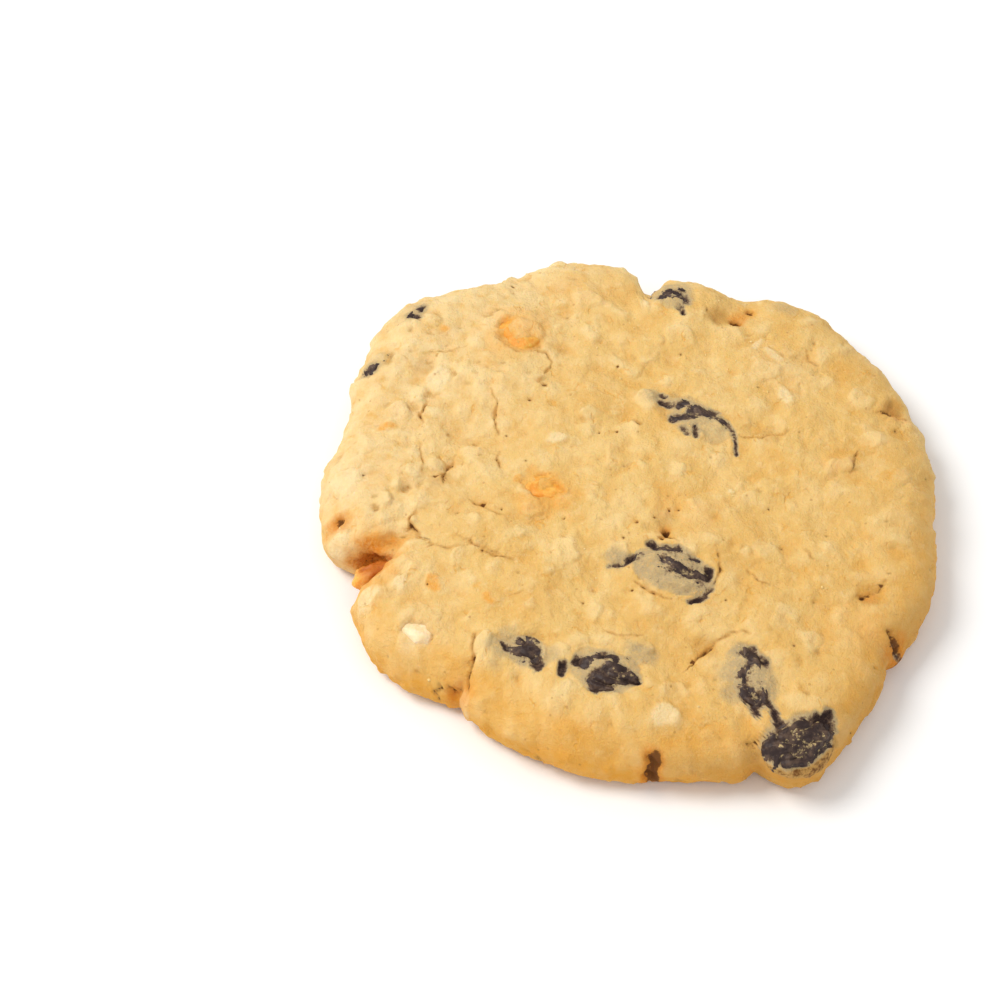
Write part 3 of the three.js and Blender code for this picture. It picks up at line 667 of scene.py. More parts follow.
class Relief:
    """What is pressed, cracked and baked into the skin: a lift at each point, and masks for the colours, some
    of which paint light and shade.
    """

    MASKS = ("tone", "raised", "toast_and_shade", "base", "crease", "veil", "orange", "amber_shade", "cream", "crumbly_and_lit")

    def __init__(self, skin, settings):
        self.skin = skin
        self.settings = settings
        self.points = skin.points.copy()
        self.out = skin.ways_out()
        self.lift = np.zeros(len(self.points))
        self.masks = {name: np.zeros(len(self.points)) for name in self.MASKS}
        self.draws = np.random.default_rng(4)
        self.tree = tree_of((skin.points, skin.faces))
        self.off_base = smoothstep(0.15, 1.6, self.points[:, 2])
        # The dough is crumbliest at the left and the back, and it is also painted paler there, as painted
        # light from that side.
        across = (self.points[:, :2] - MIDDLE) @ [-0.88, 0.48] + 4.0 * grain(self.points, 9.0, 31.0)
        self.masks["crumbly_and_lit"] = smoothstep(8.0, 36.0, across) * self.off_base

    def on_top(self, place):
        """The skin's point under a place, or nearest to it where the place lies outside the outline."""
        x, y = np.asarray(place) + MIDDLE
        hit = self.tree.ray_cast((x, y, FAR), (0.0, 0.0, -1.0))
        return np.array(hit[0] or self.tree.find_nearest((x, y, SPINE_HEIGHT))[0])

    def on_side(self, direction, height):
        """The skin's point seen from outside in that direction, in degrees, at that height."""
        radial = np.array([math.cos(math.radians(direction)), math.sin(math.radians(direction)), 0.0])
        start = np.array([*MIDDLE, height]) + radial * OUTSIDE
        return np.array(self.tree.ray_cast(start.tolist(), (-radial).tolist())[0])

    def darken(self, mask, values, where=slice(None)):
        """Raises a mask to at least these values."""
        self.masks[mask][where] = np.maximum(self.masks[mask][where], values)

    def add_lumps(self):
        """Soft unevenness from under the skin."""
        height = self.settings.lump_height / MM
        lumps = 0.8 * grain(self.points, 6.5) + 0.8 * grain(self.points, 3.1, 3.0)
        lumps += (0.6 + 0.3 * self.masks["crumbly_and_lit"]) * np.abs(grain(self.points, 2.1, 9.0)) * 1.8
        self.lift += height * lumps * self.off_base

    def flake(self, centre, out, size, turn, lifts, tone, mask=None):
        """One rolled oat: an uneven oval, level or tipped, that covers what is lower than it."""
        long, wide = size[0] / 2, size[1] / 2
        away = self.points - centre
        near = np.where(np.einsum("ij,ij->i", away, away) < (1.4 * long) ** 2)[0]
        away = away[near]
        along = unit(np.cross(np.cross(out, [math.cos(turn), math.sin(turn), 0.2]), out))
        across = np.cross(out, along)
        u, v = away @ along / long, away @ across / wide
        angle = np.arctan2(v, u)
        edge = 1.0 + 0.08 * np.sin(3 * angle + 5.0 * tone) + 0.06 * np.sin(5 * angle + 11.0 * tone)
        edge += 0.10 * grain(self.points[near], 0.9, 17.0)
        part = (np.abs(u) ** 2.3 + np.abs(v) ** 2.3) ** (1 / 2.3) / edge
        inside = smoothstep(1.0, 0.84, part) * (np.abs(away @ out) < 2.2)
        groove = 0.06 * np.exp(-((v * wide / 0.3) ** 2)) * smoothstep(0.9, 0.5, np.abs(u))
        height = (lifts[0] + lifts[1] * u - groove) * inside
        over = height > self.risen[near]
        self.risen[near[over]] = height[over]
        blended = self.masks["tone"][near] * (1.0 - inside) + tone * inside
        self.masks["tone"][near] = np.where(over, blended, self.masks["tone"][near])
        if mask:
            self.darken(mask, inside * smoothstep(1.0, 0.6, part), near)

    def add_flakes(self):
        """Rolled oats all over the skin, then those at known places."""
        self.risen = np.zeros(len(self.points))
        most = self.settings.flake_lift / MM
        for count, scale in FLAKE_KINDS:
            for number in spread_out(self.points[: self.skin.first_base], count, self.draws):
                long = scale * self.settings.flake_length / MM * self.draws.uniform(0.5, 1.3)
                wide = long * self.draws.uniform(0.60, 0.88)
                loose = scale**0.5 * (1.0 + 0.5 * self.masks["crumbly_and_lit"][number])
                lifts = [most * loose * self.draws.uniform(*bounds) for bounds in ((-0.7, 0.45), (0.2, 0.8))]
                turn, tone = self.draws.uniform(0.0, 6.28), self.draws.uniform(-1.0, 1.0)
                self.flake(self.points[number], self.out[number], (long, wide), turn, lifts, tone)
        for x, y, long, wide, turn, lift, mask in FLAKES:
            centre, turn = self.on_top((x, y)), math.radians(turn)
            self.flake(centre, np.array([0.0, 0.0, 1.0]), (long, wide), turn, (lift, 0.08), 0.6, mask)
        self.lift += self.risen * self.off_base
        for place, radius, depth in HOLLOWS:
            distance = np.linalg.norm(self.points - self.on_top(place), axis=1)
            distance = distance * (1.0 + 0.45 * grain(self.points, 1.6, 43.0))
            dip = smoothstep(radius, 0.25 * radius, distance)
            self.lift -= depth * dip
            # Painted shade in the hollow.
            self.darken("crease", 0.24 * dip)
        for number in spread_out(self.points[: self.skin.first_base], DENT_COUNT, self.draws):
            radius, depth = self.draws.uniform(0.7, 1.6), self.draws.uniform(0.05, 0.25)
            distance = np.linalg.norm(self.points - self.points[number], axis=1)
            self.lift -= depth * smoothstep(radius, 0.2 * radius, distance)

    def add_grain(self):
        """The fine grain of the skin."""
        height = self.settings.grain_height / MM
        fine = grain(self.points, 0.95, 5.0) + 0.9 * grain(self.points, 0.55, 11.0)
        self.lift += height * fine * self.off_base * (1.0 + 0.5 * self.masks["crumbly_and_lit"])

    def add_pits(self):
        """Small pores where steam or a grain came out."""
        for number in spread_out(self.points, PORE_COUNT, self.draws):
            radius, depth = self.draws.uniform(0.30, 0.55), self.draws.uniform(0.10, 0.35)
            distance = np.linalg.norm(self.points - self.points[number], axis=1)
            dip = smoothstep(radius, 0.0, distance)
            self.lift -= depth * dip
            # Painted shade in the pore.
            self.darken("crease", 0.75 * dip * depth / 0.35)

    def cut_groove(self, route, half_width, depth, ragged):
        """A crack with ragged walls that comes and goes, between lips that stand a little proud."""
        reach = half_width + 1.2
        low, high = np.min(route, axis=0) - reach, np.max(route, axis=0) + reach
        near = np.where(np.all((self.points > low) & (self.points < high), axis=1))[0]
        places = self.points[near]
        shaky = places + ragged * np.stack([grain(places, 0.9, s) for s in (1.0, 4.0, 8.0)], axis=1)
        distance, along = distance_to_route(shaky, route)
        taper = np.sqrt(np.clip(np.sin(math.pi * (0.06 + 0.88 * along)), 0.0, 1.0))
        taper = taper * (0.75 + 0.5 * grain(places, 1.3, 60.0))
        width = np.maximum(half_width * taper, 0.06)
        wall = np.clip(1.0 - distance / (1.5 * width), 0.0, 1.0) ** 0.8
        lip = 0.07 * np.exp(-(((distance - width - 0.35) / 0.3) ** 2)) * taper
        self.lift[near] += lip - depth * taper * wall
        # Painted shade inside the crack.
        groove_shade = np.clip(0.50 + (width - distance) / 0.6, 0.0, 1.0) * np.clip(0.55 + 0.6 * taper, 0.0, 1.0)
        groove_shade = groove_shade * np.interp(half_width, [0.1, 0.25, 0.45, 0.9], [0.8, 1.0, 0.8, 0.64])
        self.darken("crease", groove_shade, near)
        self.darken("orange", 0.30 * smoothstep(width + 0.70, width, distance) * taper, near)

    def add_cracks(self):
        for half_width, depth, route in CRACKS:
            self.cut_groove([self.on_top(place) for place in route], half_width, depth, 0.30)
        for half_width, depth, direction, heights in SIDE_SPLITS:
            steps = np.linspace(*heights, 5)
            route = [self.on_side(direction + 0.8 * math.sin(2.6 * i), z) for i, z in enumerate(steps)]
            self.cut_groove(route, half_width, depth, 0.35)
        for place, radius, depth, darkness in HOLES:
            distance = np.linalg.norm(self.points - self.on_top(place), axis=1)
            distance = distance * (1.0 + 0.35 * grain(self.points, 0.8, 2.0))
            self.lift -= depth * smoothstep(radius * 1.15, radius * 0.35, distance)
            # Painted shade in the hole: dark inside it and amber round it.
            self.darken("crease", darkness * smoothstep(radius * 1.3, radius * 0.4, distance))
            self.darken("amber_shade", 0.7 * min(1.0, radius) * smoothstep(radius * 1.8, radius * 0.8, distance))

    def drape(self, tree, strokes, thinness, tint, lowest):
        """Draws the dough over a piece of fruit, thin enough to take its colour, with the strokes bare."""
        strokes = [(half_width, [self.on_top(place) for place in route]) for half_width, route in strokes]
        centre = np.mean([place for _, route in strokes for place in route], axis=0)
        near = np.where(np.linalg.norm(self.points - centre, axis=1) < DRAPE_REACH)[0]
        starts = self.points[near]
        height = np.full(len(self.points), LOWEST_FRUIT)
        height[near] = np.fmax(outermost(tree, starts, self.out[near], far=6.0), LOWEST_FRUIT)
        height = self.skin.smoothed(height, 1)[near]
        ragged = 0.7 * grain(starts, 1.5, 2.0) + 0.7 * grain(starts, 0.8, 6.0)
        showing = np.full(len(near), -DRAPE_REACH)  # how far inside a stroke, in mm
        for half_width, route in strokes:
            distance, _ = distance_to_route(starts * FLATTEN, [place * FLATTEN for place in route])
            showing = np.maximum(showing, half_width + min(half_width, 0.6) * ragged - distance)
        low = smoothstep(lowest + 0.25, lowest - 0.35, starts[:, 2] + 0.4 * ragged)
        close = np.minimum(showing, 0.0) - 1.6 * low
        showing = showing - 5.0 * low
        under = smoothstep(LOWEST_FRUIT, -0.1, height)
        cover = smoothstep(-0.45, 0.10, height)
        bare = smoothstep(-0.20, 0.20, showing)
        full = self.settings.film_thickness / MM * max(1.25 - 0.95 * thinness, 0.35)
        film = 0.03 + full * smoothstep(0.0, 1.3, -showing) + 0.07 * grain(starts, 0.6, 4.0) + 0.20 * low

        if tint == "veil":
            # Painted shade: a ring round the raisin where it dips into the dough, and the dough low under it.
            rim = np.exp(-(((height + 0.7) / 0.35) ** 2)) * smoothstep(-0.2, 0.4, grain(starts, 2.4, 13.0))
            self.lift[near] -= 0.30 * rim * thinness
            darkened = 0.48 * np.clip(2.5 * low, 0.0, 1.0) * under
            crease = np.maximum(0.40 * rim * min(thinness, 0.9), darkened)
            blend = thinness * under * (0.33 + 0.19 * np.exp(close)) * (1.0 - low) ** 2
            blend = blend * (1.0 + 0.25 * grain(starts, 2.2, 51.0))
            amount = np.maximum(blend, 0.62 + (1.90 - 1.35 * under) * showing)
        else:
            film += 0.16 * grain(starts, 1.3, 90.0) + 0.10 * grain(starts, 0.7, 95.0)
            crease = 0.0
            soaked = 1.0 + 0.45 * grain(starts, 1.8, 55.0)
            amount = under * (0.50 + 0.50 * np.exp(close / 0.9)) * soaked
        lift = self.lift[near]
        lift = lift * (1.0 - cover) + (np.clip(height, -0.6, 2.0) + film) * cover
        bed = np.clip(height, -0.25, 2.5) - 0.22
        self.lift[near] = lift * (1.0 - bare) + np.minimum(lift, bed) * bare
        for mask in ("crease", "orange", "cream"):
            self.masks[mask][near] *= 1.0 - 0.85 * cover
        self.darken("crease", crease, near)
        self.darken(tint, np.clip(amount, 0.0, 1.0), near)

    def add_tints_and_shade(self):
        for mask, x, y, radius, strength in TINTS_AND_SHADE:
            distance = np.linalg.norm(self.points[:, :2] - MIDDLE - [x, y], axis=1)
            distance = distance * (1.0 + 0.5 * grain(self.points, 1.7, 25.0))
            self.darken(mask, strength * smoothstep(radius, 0.3 * radius, distance) * self.off_base)

    def finish(self):
        """The skin with its relief, and the masks that follow from its final form."""
        self.lift = 0.75 * self.lift + 0.25 * self.skin.mean_round(self.lift)
        below = np.arange(len(self.points)) >= self.skin.first_base
        base = self.points[below]
        blisters = np.abs(grain(base, 4.2, 70.0)) + 0.5 * np.abs(grain(base, 1.7, 75.0))
        self.lift[below] = np.minimum(self.lift[below], 0.0) - 0.5 * smoothstep(0.10, 0.55, blisters)
        # Scorched spots where the base lay on the tray, the dough's own colour.
        scorched = smoothstep(0.30, 0.05, blisters) * smoothstep(-0.1, 0.5, grain(base, 7.0, 79.0))
        self.masks["crease"][below] = np.maximum(self.masks["crease"][below], 0.36 * scorched)
        points = self.points + self.out * self.lift[:, None]
        points[:, 2] = np.maximum(points[:, 2], 0.0)
        # Painted light on places raised above their surroundings, and painted shade in low ones, from the
        # relief's height.
        near_level = self.skin.smoothed(self.lift, 12)
        level = self.skin.smoothed(near_level, 60)
        self.masks["raised"] = np.clip((near_level - level) / 0.16, -1.0, 1.0)
        self.darken("crease", 0.38 * smoothstep(0.06, 0.26, near_level - self.lift))
        height = self.points[:, 2]
        radial = unit(self.points[:, :2] - MIDDLE)
        uneven = grain(self.points, 6.0, 20.0)
        # The rim is toasted near the bottom all round; higher up, its toast lies on the front only and rises
        # towards the right, and that part is painted shade.
        frontness = smoothstep(-0.5, 0.7, radial @ [0.05, -1.0] + 0.35 * uneven)
        rim = np.maximum(smoothstep(8.8, 3.2, height + 0.8 * uneven), 0.45 * smoothstep(9.9, 8.4, height))
        rim = np.maximum(frontness * rim, 0.9 * smoothstep(2.6, 0.4, height + 0.5 * uneven))
        right_shade = 0.12 * smoothstep(-14.0, 34.0, (self.points[:, :2] - MIDDLE) @ [0.9, -0.45] + 5.0 * uneven)
        self.masks["toast_and_shade"] = np.clip(rim + right_shade, 0.0, 1.0)
        # Painted shade on the right-front rim.
        right_front_shade = smoothstep(0.70, 0.95, radial @ [0.66, -0.75] + 0.12 * uneven)
        self.darken("crease", 0.27 * right_front_shade * smoothstep(9.6, 6.0, height + 0.8 * uneven))
        self.masks["base"] = np.where(below, 1.0, smoothstep(1.1, 0.1, height))
        return points


# ---------------------------------------------------------------- making Blender meshes

def put_mesh(name, points, faces, masks=None):
    """A new object from points in mm, triangles and a value at each point for each mask."""
    mesh = bpy.data.meshes.new(name)
    mesh.from_pydata((points * MM).tolist(), [], faces.tolist())
    mesh.polygons.foreach_set("use_smooth", [True] * len(mesh.polygons))
    for mask, values in (masks or {}).items():
        mesh.attributes.new(mask, "FLOAT", "POINT").data.foreach_set("value", values.astype(np.float32))
    mesh.update()
    thing = bpy.data.objects.new(name, mesh)
    bpy.context.scene.collection.objects.link(thing)
    return thing


def round_ball(fineness):
    """Points of a unit ball and its triangles."""
    bpy.ops.mesh.primitive_ico_sphere_add(subdivisions=fineness, radius=MM)
    ball = bpy.context.object
    points, faces = mesh_arrays(ball)
    bpy.data.objects.remove(ball)
    return points, faces


def lie_of(node):
    """A piece's middle, its half-sizes from the longest down, and its three axes as rows."""
    points, _ = mesh_arrays(frame["nodes"][node])
    middle = (points.max(0) + points.min(0)) / 2
    _, _, axes = np.linalg.svd(points - middle, full_matrices=False)
    along = (points - middle) @ axes.T
    middle = middle + (along.max(0) + along.min(0)) / 2 @ axes
    return middle, np.ptp(along, axis=0) / 2, axes


# ---------------------------------------------------------------- materials

class Finish:
    """A material's nodes, made one after another. Sizes are in mm, and a value can be a node's output."""

    def __init__(self, name):
        self.material = bpy.data.materials.new(name)
        self.material.use_nodes = True
        self.tree = self.material.node_tree
        self.surface = self.tree.nodes["Principled BSDF"]
        self.place = self.tree.nodes.new("ShaderNodeTexCoord").outputs["Object"]

    def feed(self, socket, value):
        if isinstance(value, bpy.types.NodeSocket):
            self.tree.links.new(value, socket)
        else:
            socket.default_value = value

    def node(self, kind, inputs=(), **values):
        made = self.tree.nodes.new("ShaderNode" + kind)
        for key, value in values.items():
            setattr(made, key, value)
        for key, value in dict(inputs).items():
            self.feed(made.inputs[key], value)
        return made

    def noise(self, size, detail=3.0, roughness=0.55, output="Fac"):
        """Noise from 0 to 1 with features of that size."""
        inputs = {"Vector": self.place, "Scale": 1.0 / (size * MM), "Detail": detail, "Roughness": roughness}
        return self.node("TexNoise", inputs).outputs[output]

    def cells(self, size, place=None, **values):
        """A pattern of cells of that size."""
        return self.node("TexVoronoi", {"Vector": place or self.place, "Scale": 1.0 / (size * MM)}, **values)

    def mask(self, name):
        return self.node("Attribute", attribute_name=name).outputs["Fac"]

    def ramp(self, value, low, high, to_low=0.0, to_high=1.0):
        """A value's range from low to high, stretched smoothly to another range."""
        inputs = {"Value": value, "From Min": low, "From Max": high, "To Min": to_low, "To Max": to_high}
        return self.node("MapRange", inputs, interpolation_type="SMOOTHSTEP").outputs["Result"]

    def math(self, operation, a, b):
        return self.node("Math", {0: a, 1: b}, operation=operation).outputs[0]

    def plus(self, a, b):
        return self.math("ADD", a, b)

    def times(self, a, b):
        return self.math("MULTIPLY", a, b)

    def vector(self, operation, inputs):
        return self.node("VectorMath", inputs, operation=operation).outputs[0]

    def mix(self, amount, a, b):
        """Colour a, turned towards colour b by an amount."""
        made = self.node("Mix", data_type="RGBA", clamp_factor=True)
        self.feed(made.inputs[0], amount)
        for key, value in ((6, a), (7, b)):
            self.feed(made.inputs[key], value if isinstance(value, bpy.types.NodeSocket) else (*value, 1.0))
        return made.outputs[2]

    def set(self, **values):
        """Sets or links the shader's own inputs."""
        for key, value in values.items():
            self.feed(self.surface.inputs[key.replace("_", " ")], value)

    def bump(self, height, depth, strength=1.0):
        made = self.node("Bump", {"Height": height, "Distance": depth * MM, "Strength": strength})
        self.set(Normal=made.outputs["Normal"])


def dough_finish(settings, raisins):
    """Baked dough: golden, paler on its oats, toasted at the rim, with painted light on raised places and at
    the left and the back, and painted shade in low places, hollows and cracks and on the front and right of
    the rim.
    """
    finish = Finish("baked_dough")
    patches = finish.noise(9.0, 2.0)
    mottle = finish.noise(2.0, 4.0, 0.6)
    fine = finish.noise(0.55, 4.0, 0.65)
    raised, tone, crease, veil = (finish.mask(name) for name in ("raised", "tone", "crease", "veil"))

    colour = settings.golden
    # The raised mask paints light on raised places and shade in low ones; the other marks are the dough's own
    # colour.
    for value, low, high, most, towards in (
        (patches, 0.45, 0.68, 0.35, settings.tan),
        (patches, 0.50, 0.30, 0.40, settings.pale),
        (raised, 0.05, 0.9, 0.55, settings.pale),
        (raised, -0.1, -0.9, 0.65, settings.tan),
        (tone, 0.1, 1.0, 0.35, settings.pale),
        (tone, -0.3, -1.0, 0.25, settings.tan),
        (mottle, 0.52, 0.72, 0.40, settings.pale),
        (mottle, 0.46, 0.28, 0.35, settings.tan),
        (fine, 0.54, 0.74, 0.30, settings.cream),
    ):
        colour = finish.mix(finish.ramp(value, low, high, 0.0, most), colour, towards)
    # Paler at the left and the back: painted light, where the dough is also crumblier.
    crumbly_and_lit = finish.times(finish.mask("crumbly_and_lit"), finish.ramp(mottle, 0.20, 0.60, 0.0, 0.45))
    colour = finish.mix(crumbly_and_lit, colour, settings.cream)
    # Toast at the rim, partly painted shade on the front and right.
    toast_and_shade = finish.times(finish.mask("toast_and_shade"), finish.ramp(mottle, 0.25, 0.7, 1.0, 0.65))
    colour = finish.mix(toast_and_shade, colour, settings.toasted)
    darkened = finish.times(finish.mask("base"), finish.ramp(mottle, 0.72, 0.28, 0.45, 1.0))
    darkened = finish.times(darkened, finish.ramp(patches, 0.36, 0.60, 0.55, 1.0))
    colour = finish.mix(darkened, colour, settings.underside)
    # Painted shade in creases, hollows, pits and cracks, and the scorched spots of the base.
    colour = finish.mix(finish.ramp(crease, 0.03, 0.5, 0.0, 0.75), colour, settings.hollow)
    # Amber is painted shade in holes and crevices; cream and orange are the dough's own tints.
    for mask, most in (("cream", 0.65), ("orange", 0.90), ("amber_shade", 0.95)):
        amount = finish.times(finish.mask(mask), finish.ramp(fine, 0.3, 0.65, 0.55 * most, most))
        colour = finish.mix(amount, colour, getattr(settings, mask))

    # Hair cracks run between cells of dough, and show only here and there, with painted shade in them in the
    # toasted colour.
    swirl = finish.vector("SUBTRACT", {0: finish.noise(1.6, 2.0, 0.5, "Color"), 1: (0.5, 0.5, 0.5)})
    swirl = finish.vector("SCALE", {0: swirl, "Scale": 2.2 * MM})
    bent = finish.vector("ADD", {0: finish.place, 1: swirl})
    edges = finish.cells(4.6, bent, feature="DISTANCE_TO_EDGE").outputs["Distance"]
    hair = finish.times(finish.ramp(edges, 0.050, 0.004), finish.ramp(finish.noise(2.3, 3.0), 0.54, 0.70))
    colour = finish.mix(finish.times(hair, 0.45), colour, settings.toasted)

    # Brown specks of bran lie in a few of the small cells.
    specks = finish.cells(1.7)
    chance = finish.node("SeparateColor", {"Color": specks.outputs["Color"]}).outputs[0]
    picked = finish.math("GREATER_THAN", chance, 0.7)
    dot = finish.times(finish.ramp(specks.outputs["Distance"], 0.14, 0.07), picked)
    colour = finish.mix(finish.times(dot, 0.45), colour, settings.underside)

    # A veil of 0 is plain dough and a veil of 1 is the raisin itself.
    flecks = finish.plus(finish.noise(0.45, 3.0, 0.65), finish.times(finish.noise(1.4, 3.0, 0.6), 0.9))
    flecks = finish.plus(flecks, -0.95)
    veil = finish.plus(veil, finish.times(flecks, finish.ramp(veil, 0.10, 0.60, 0.10, 1.0)))
    colour = finish.mix(finish.ramp(veil, 0.02, 0.44), colour, settings.thin)
    colour = finish.mix(finish.ramp(veil, 0.42, 0.64), colour, settings.dusky)
    # Painted shade inside the cracks.
    crack_shade = finish.plus(crease, finish.times(flecks, finish.ramp(crease, 0.1, 0.4, 0.0, 0.6)))
    colour = finish.mix(finish.ramp(crack_shade, 0.40, 0.62, 0.0, 0.95), colour, settings.crack)
    colour = finish.mix(finish.ramp(veil, 0.60, 0.76), colour, raisins.bloom)
    colour = finish.mix(finish.ramp(veil, 0.72, 1.05), colour, raisins.skin)

    finish.set(Base_Color=colour, Roughness=finish.ramp(mottle, 0.3, 0.7, 0.72, 0.9), Specular_IOR_Level=0.25)
    finish.set(Subsurface_Weight=0.20, Subsurface_Radius=(1.0, 0.55, 0.22), Subsurface_Scale=1.0 * MM)
    height = finish.plus(finish.noise(0.34, 4.0, 0.7), finish.times(mottle, 0.8))
    height = finish.plus(height, finish.noise(0.95, 3.0, 0.6))
    finish.bump(finish.plus(height, finish.times(hair, -0.35)), 0.26)
    return finish.material


def raisin_finish(settings):
    """A raisin's skin: purple-black, greyer on its folds, with dough dust caught between them."""
    finish = Finish("raisin_skin")
    mottle = finish.noise(1.3, 4.0, 0.6)
    fine = finish.noise(0.40, 3.0, 0.6)
    coarse = finish.noise(0.85, 2.0, 0.6)
    colour = finish.mix(finish.ramp(mottle, 0.42, 0.68), settings.skin, settings.bloom)
    caught = finish.times(finish.ramp(finish.mask("fold"), 0.70, 1.0), finish.ramp(fine, 0.50, 0.64))
    patches = finish.times(finish.ramp(coarse, 0.58, 0.64), finish.ramp(mottle, 0.48, 0.60))
    dust = finish.times(finish.math("MAXIMUM", caught, patches), finish.mask("dusty"))
    colour = finish.mix(dust, colour, settings.flour)
    roughness = finish.plus(finish.times(dust, 0.35), 0.50)
    finish.set(Base_Color=colour, Roughness=roughness, Specular_IOR_Level=0.32)
    finish.bump(finish.plus(fine, mottle), 0.12, 0.7)
    return finish.material


def fruit_finish(name, main, light, roughness, translucence, deep=None):
    """Soft flesh in two colours, a little translucent, and in a third where its mask says so."""
    finish = Finish(name)
    mottle = finish.noise(1.6, 4.0, 0.6)
    fine = finish.noise(0.4, 3.0, 0.6)
    colour = finish.mix(finish.ramp(mottle, 0.35, 0.7), main, light)
    colour = finish.mix(finish.ramp(fine, 0.5, 0.7, 0.0, 0.5), colour, light)
    if deep:
        colour = finish.mix(finish.mask("deep"), colour, deep)
    finish.set(Base_Color=colour, Roughness=roughness)
    finish.set(Subsurface_Weight=translucence, Subsurface_Radius=(1.0, 0.5, 0.2), Subsurface_Scale=1.5 * MM)
    finish.bump(finish.plus(fine, mottle), 0.15, 0.8)
    return finish.material


# ---------------------------------------------------------------- the pieces

def dress(node, name, points, faces, material, masks=None):
    """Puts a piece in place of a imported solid, with its faces turned outwards."""
    corners = points[faces]
    if np.einsum("ij,ij->", corners[:, 0], np.cross(corners[:, 1], corners[:, 2])) < 0.0:
        faces = faces[:, ::-1]
    piece = put_mesh(name, points, faces, masks)
    piece.data.materials.append(material)
    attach(piece, "root")
    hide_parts(node)


class COOKIE_OT_raisins(Operator):
    """Make the raisins: wrinkled along their length, with dough dust in the folds"""

    bl_idname = "cookie.raisins"
    bl_label = "Raisins"

    def execute(self, context):
        settings = context.scene.cookie_raisins
        material = raisin_finish(settings)
        for seed, node in enumerate(RAISINS):
            middle, half, axes = lie_of(node)
            ball, faces = round_ball(SMALL_RAISIN_FINENESS if half[0] < 3.4 else RAISIN_FINENESS)
            points, fold = self.wrinkle(ball, half, settings, 3.7 * seed)
            masks = {"fold": fold, "dusty": np.full(len(points), 0.95 if node == "raisin_lobe" else 0.6)}
            dress(node, node + "_skin", points @ axes + middle, faces, material, masks)
        return {"FINISHED"}

    @staticmethod
    def wrinkle(ball, half, settings, seed):
        """Folds that run along the raisin and wander, with sharp creases between round ridges."""
        body = ball * half
        drift = np.stack([grain(body, 3.2, seed + s) for s in (1.0, 5.0, 9.0)], axis=1)
        stretched = (body + 0.9 * drift) * [0.42, 1.0, 1.0]
        ridge = np.abs(grain(stretched, 1.7, seed)) * 1.9
        second = np.abs(grain(stretched, 0.85, seed + 20.0)) * 1.9
        crinkle = np.abs(grain(body, 0.42, seed + 40.0)) * 1.9
        fold = np.maximum(np.clip(1.0 - ridge * 2.6, 0.0, 1.0), 0.8 * np.clip(1.0 - second * 3.0, 0.0, 1.0))
        depth = settings.fold_depth / MM * min(1.0, half[2] / 2.4)
        sink = depth * np.clip(1.0 - ridge, 0.0, 1.0) ** 1.4
        sink += 0.35 * depth * np.clip(1.0 - second, 0.0, 1.0) ** 1.6
        sink += settings.crinkle_depth / MM * np.clip(1.0 - crinkle, 0.0, 1.0)
        return body + unit(ball / half) * (0.45 * depth - sink)[:, None], fold


class COOKIE_OT_fruit(Operator):
    """Make the pieces of dried apricot and the nut piece"""

    bl_idname = "cookie.fruit"
    bl_label = "Apricot and nut"

    def execute(self, context):
        settings = context.scene.cookie_fruit
        tones = settings.apricot, settings.apricot_light
        apricot = fruit_finish("dried_apricot", *tones, 0.55, 0.3, settings.apricot_deep)
        nut = fruit_finish("nut_flesh", settings.nut_edge, settings.nut, 0.6, 0.2)
        for seed, node in enumerate(["apricot_back", "apricot_middle", "apricot_edge", "nut_left"]):
            middle, half, axes = lie_of(node)
            ball, faces = round_ball(PIECE_FINENESS)
            blocky = np.sign(ball) * np.abs(ball) ** 0.72
            body = unit(blocky) * np.linalg.norm(blocky, axis=1, keepdims=True) ** 0.6 * half
            lumps = layered_grain(body * [0.6, 1.0, 1.0], 2.0, 3, 5.1 * seed)
            depth = settings.lump_depth / MM * (1.7 if node == "apricot_edge" else 1.0)
            points = (body + unit(ball / half) * (depth * lumps)[:, None]) @ axes + middle
            if node != "apricot_edge":
                points[:, 2] -= SINK
            out = np.linalg.norm(points[:, :2] - MIDDLE, axis=1) + 0.6 * lumps
            soaked = smoothstep(37.4, 35.0, out) if node == "apricot_edge" else np.zeros(len(points))
            slot, material = ("nut", nut) if node.startswith("nut") else ("apricot", apricot)
            dress(node, node + "_flesh", points, faces, material, {"deep": soaked})
        return {"FINISHED"}


class COOKIE_OT_dough(Operator):
    """Make the dough: the solid's form with oats, grain, pores and cracks, drawn over the fruit"""

    bl_idname = "cookie.dough"
    bl_label = "Dough"

    def execute(self, context):
        settings = context.scene.cookie_dough
        dough = mesh_arrays(frame["nodes"]["dough"])
        sunk = [name for name in frame["nodes"] if name not in ("dough", "apricot_edge")]
        skin = make_skin(tree_of(dough, *(mesh_arrays(frame["nodes"][name]) for name in sunk)))
        relief = Relief(skin, settings)
        relief.add_lumps()
        relief.add_flakes()
        relief.add_pits()
        relief.add_cracks()
        relief.add_grain()
        for node, (thinness, strokes) in RAISINS.items():
            tree = tree_of(mesh_arrays(bpy.data.objects[node + "_skin"]))
            relief.drape(tree, strokes, thinness, "veil", LOWEST_BARE.get(node, BELOW_ALL))
        for node, (tint, strokes) in SUNK_PIECES.items():
            tree = tree_of(mesh_arrays(bpy.data.objects[node + "_flesh"]))
            relief.drape(tree, strokes, SUNK_THINNESS, tint, BELOW_ALL)
        relief.add_tints_and_shade()
        points = relief.finish()
        material = dough_finish(settings, context.scene.cookie_raisins)
        dress("dough", "dough_crust", points, skin.faces, material, relief.masks)
        return {"FINISHED"}


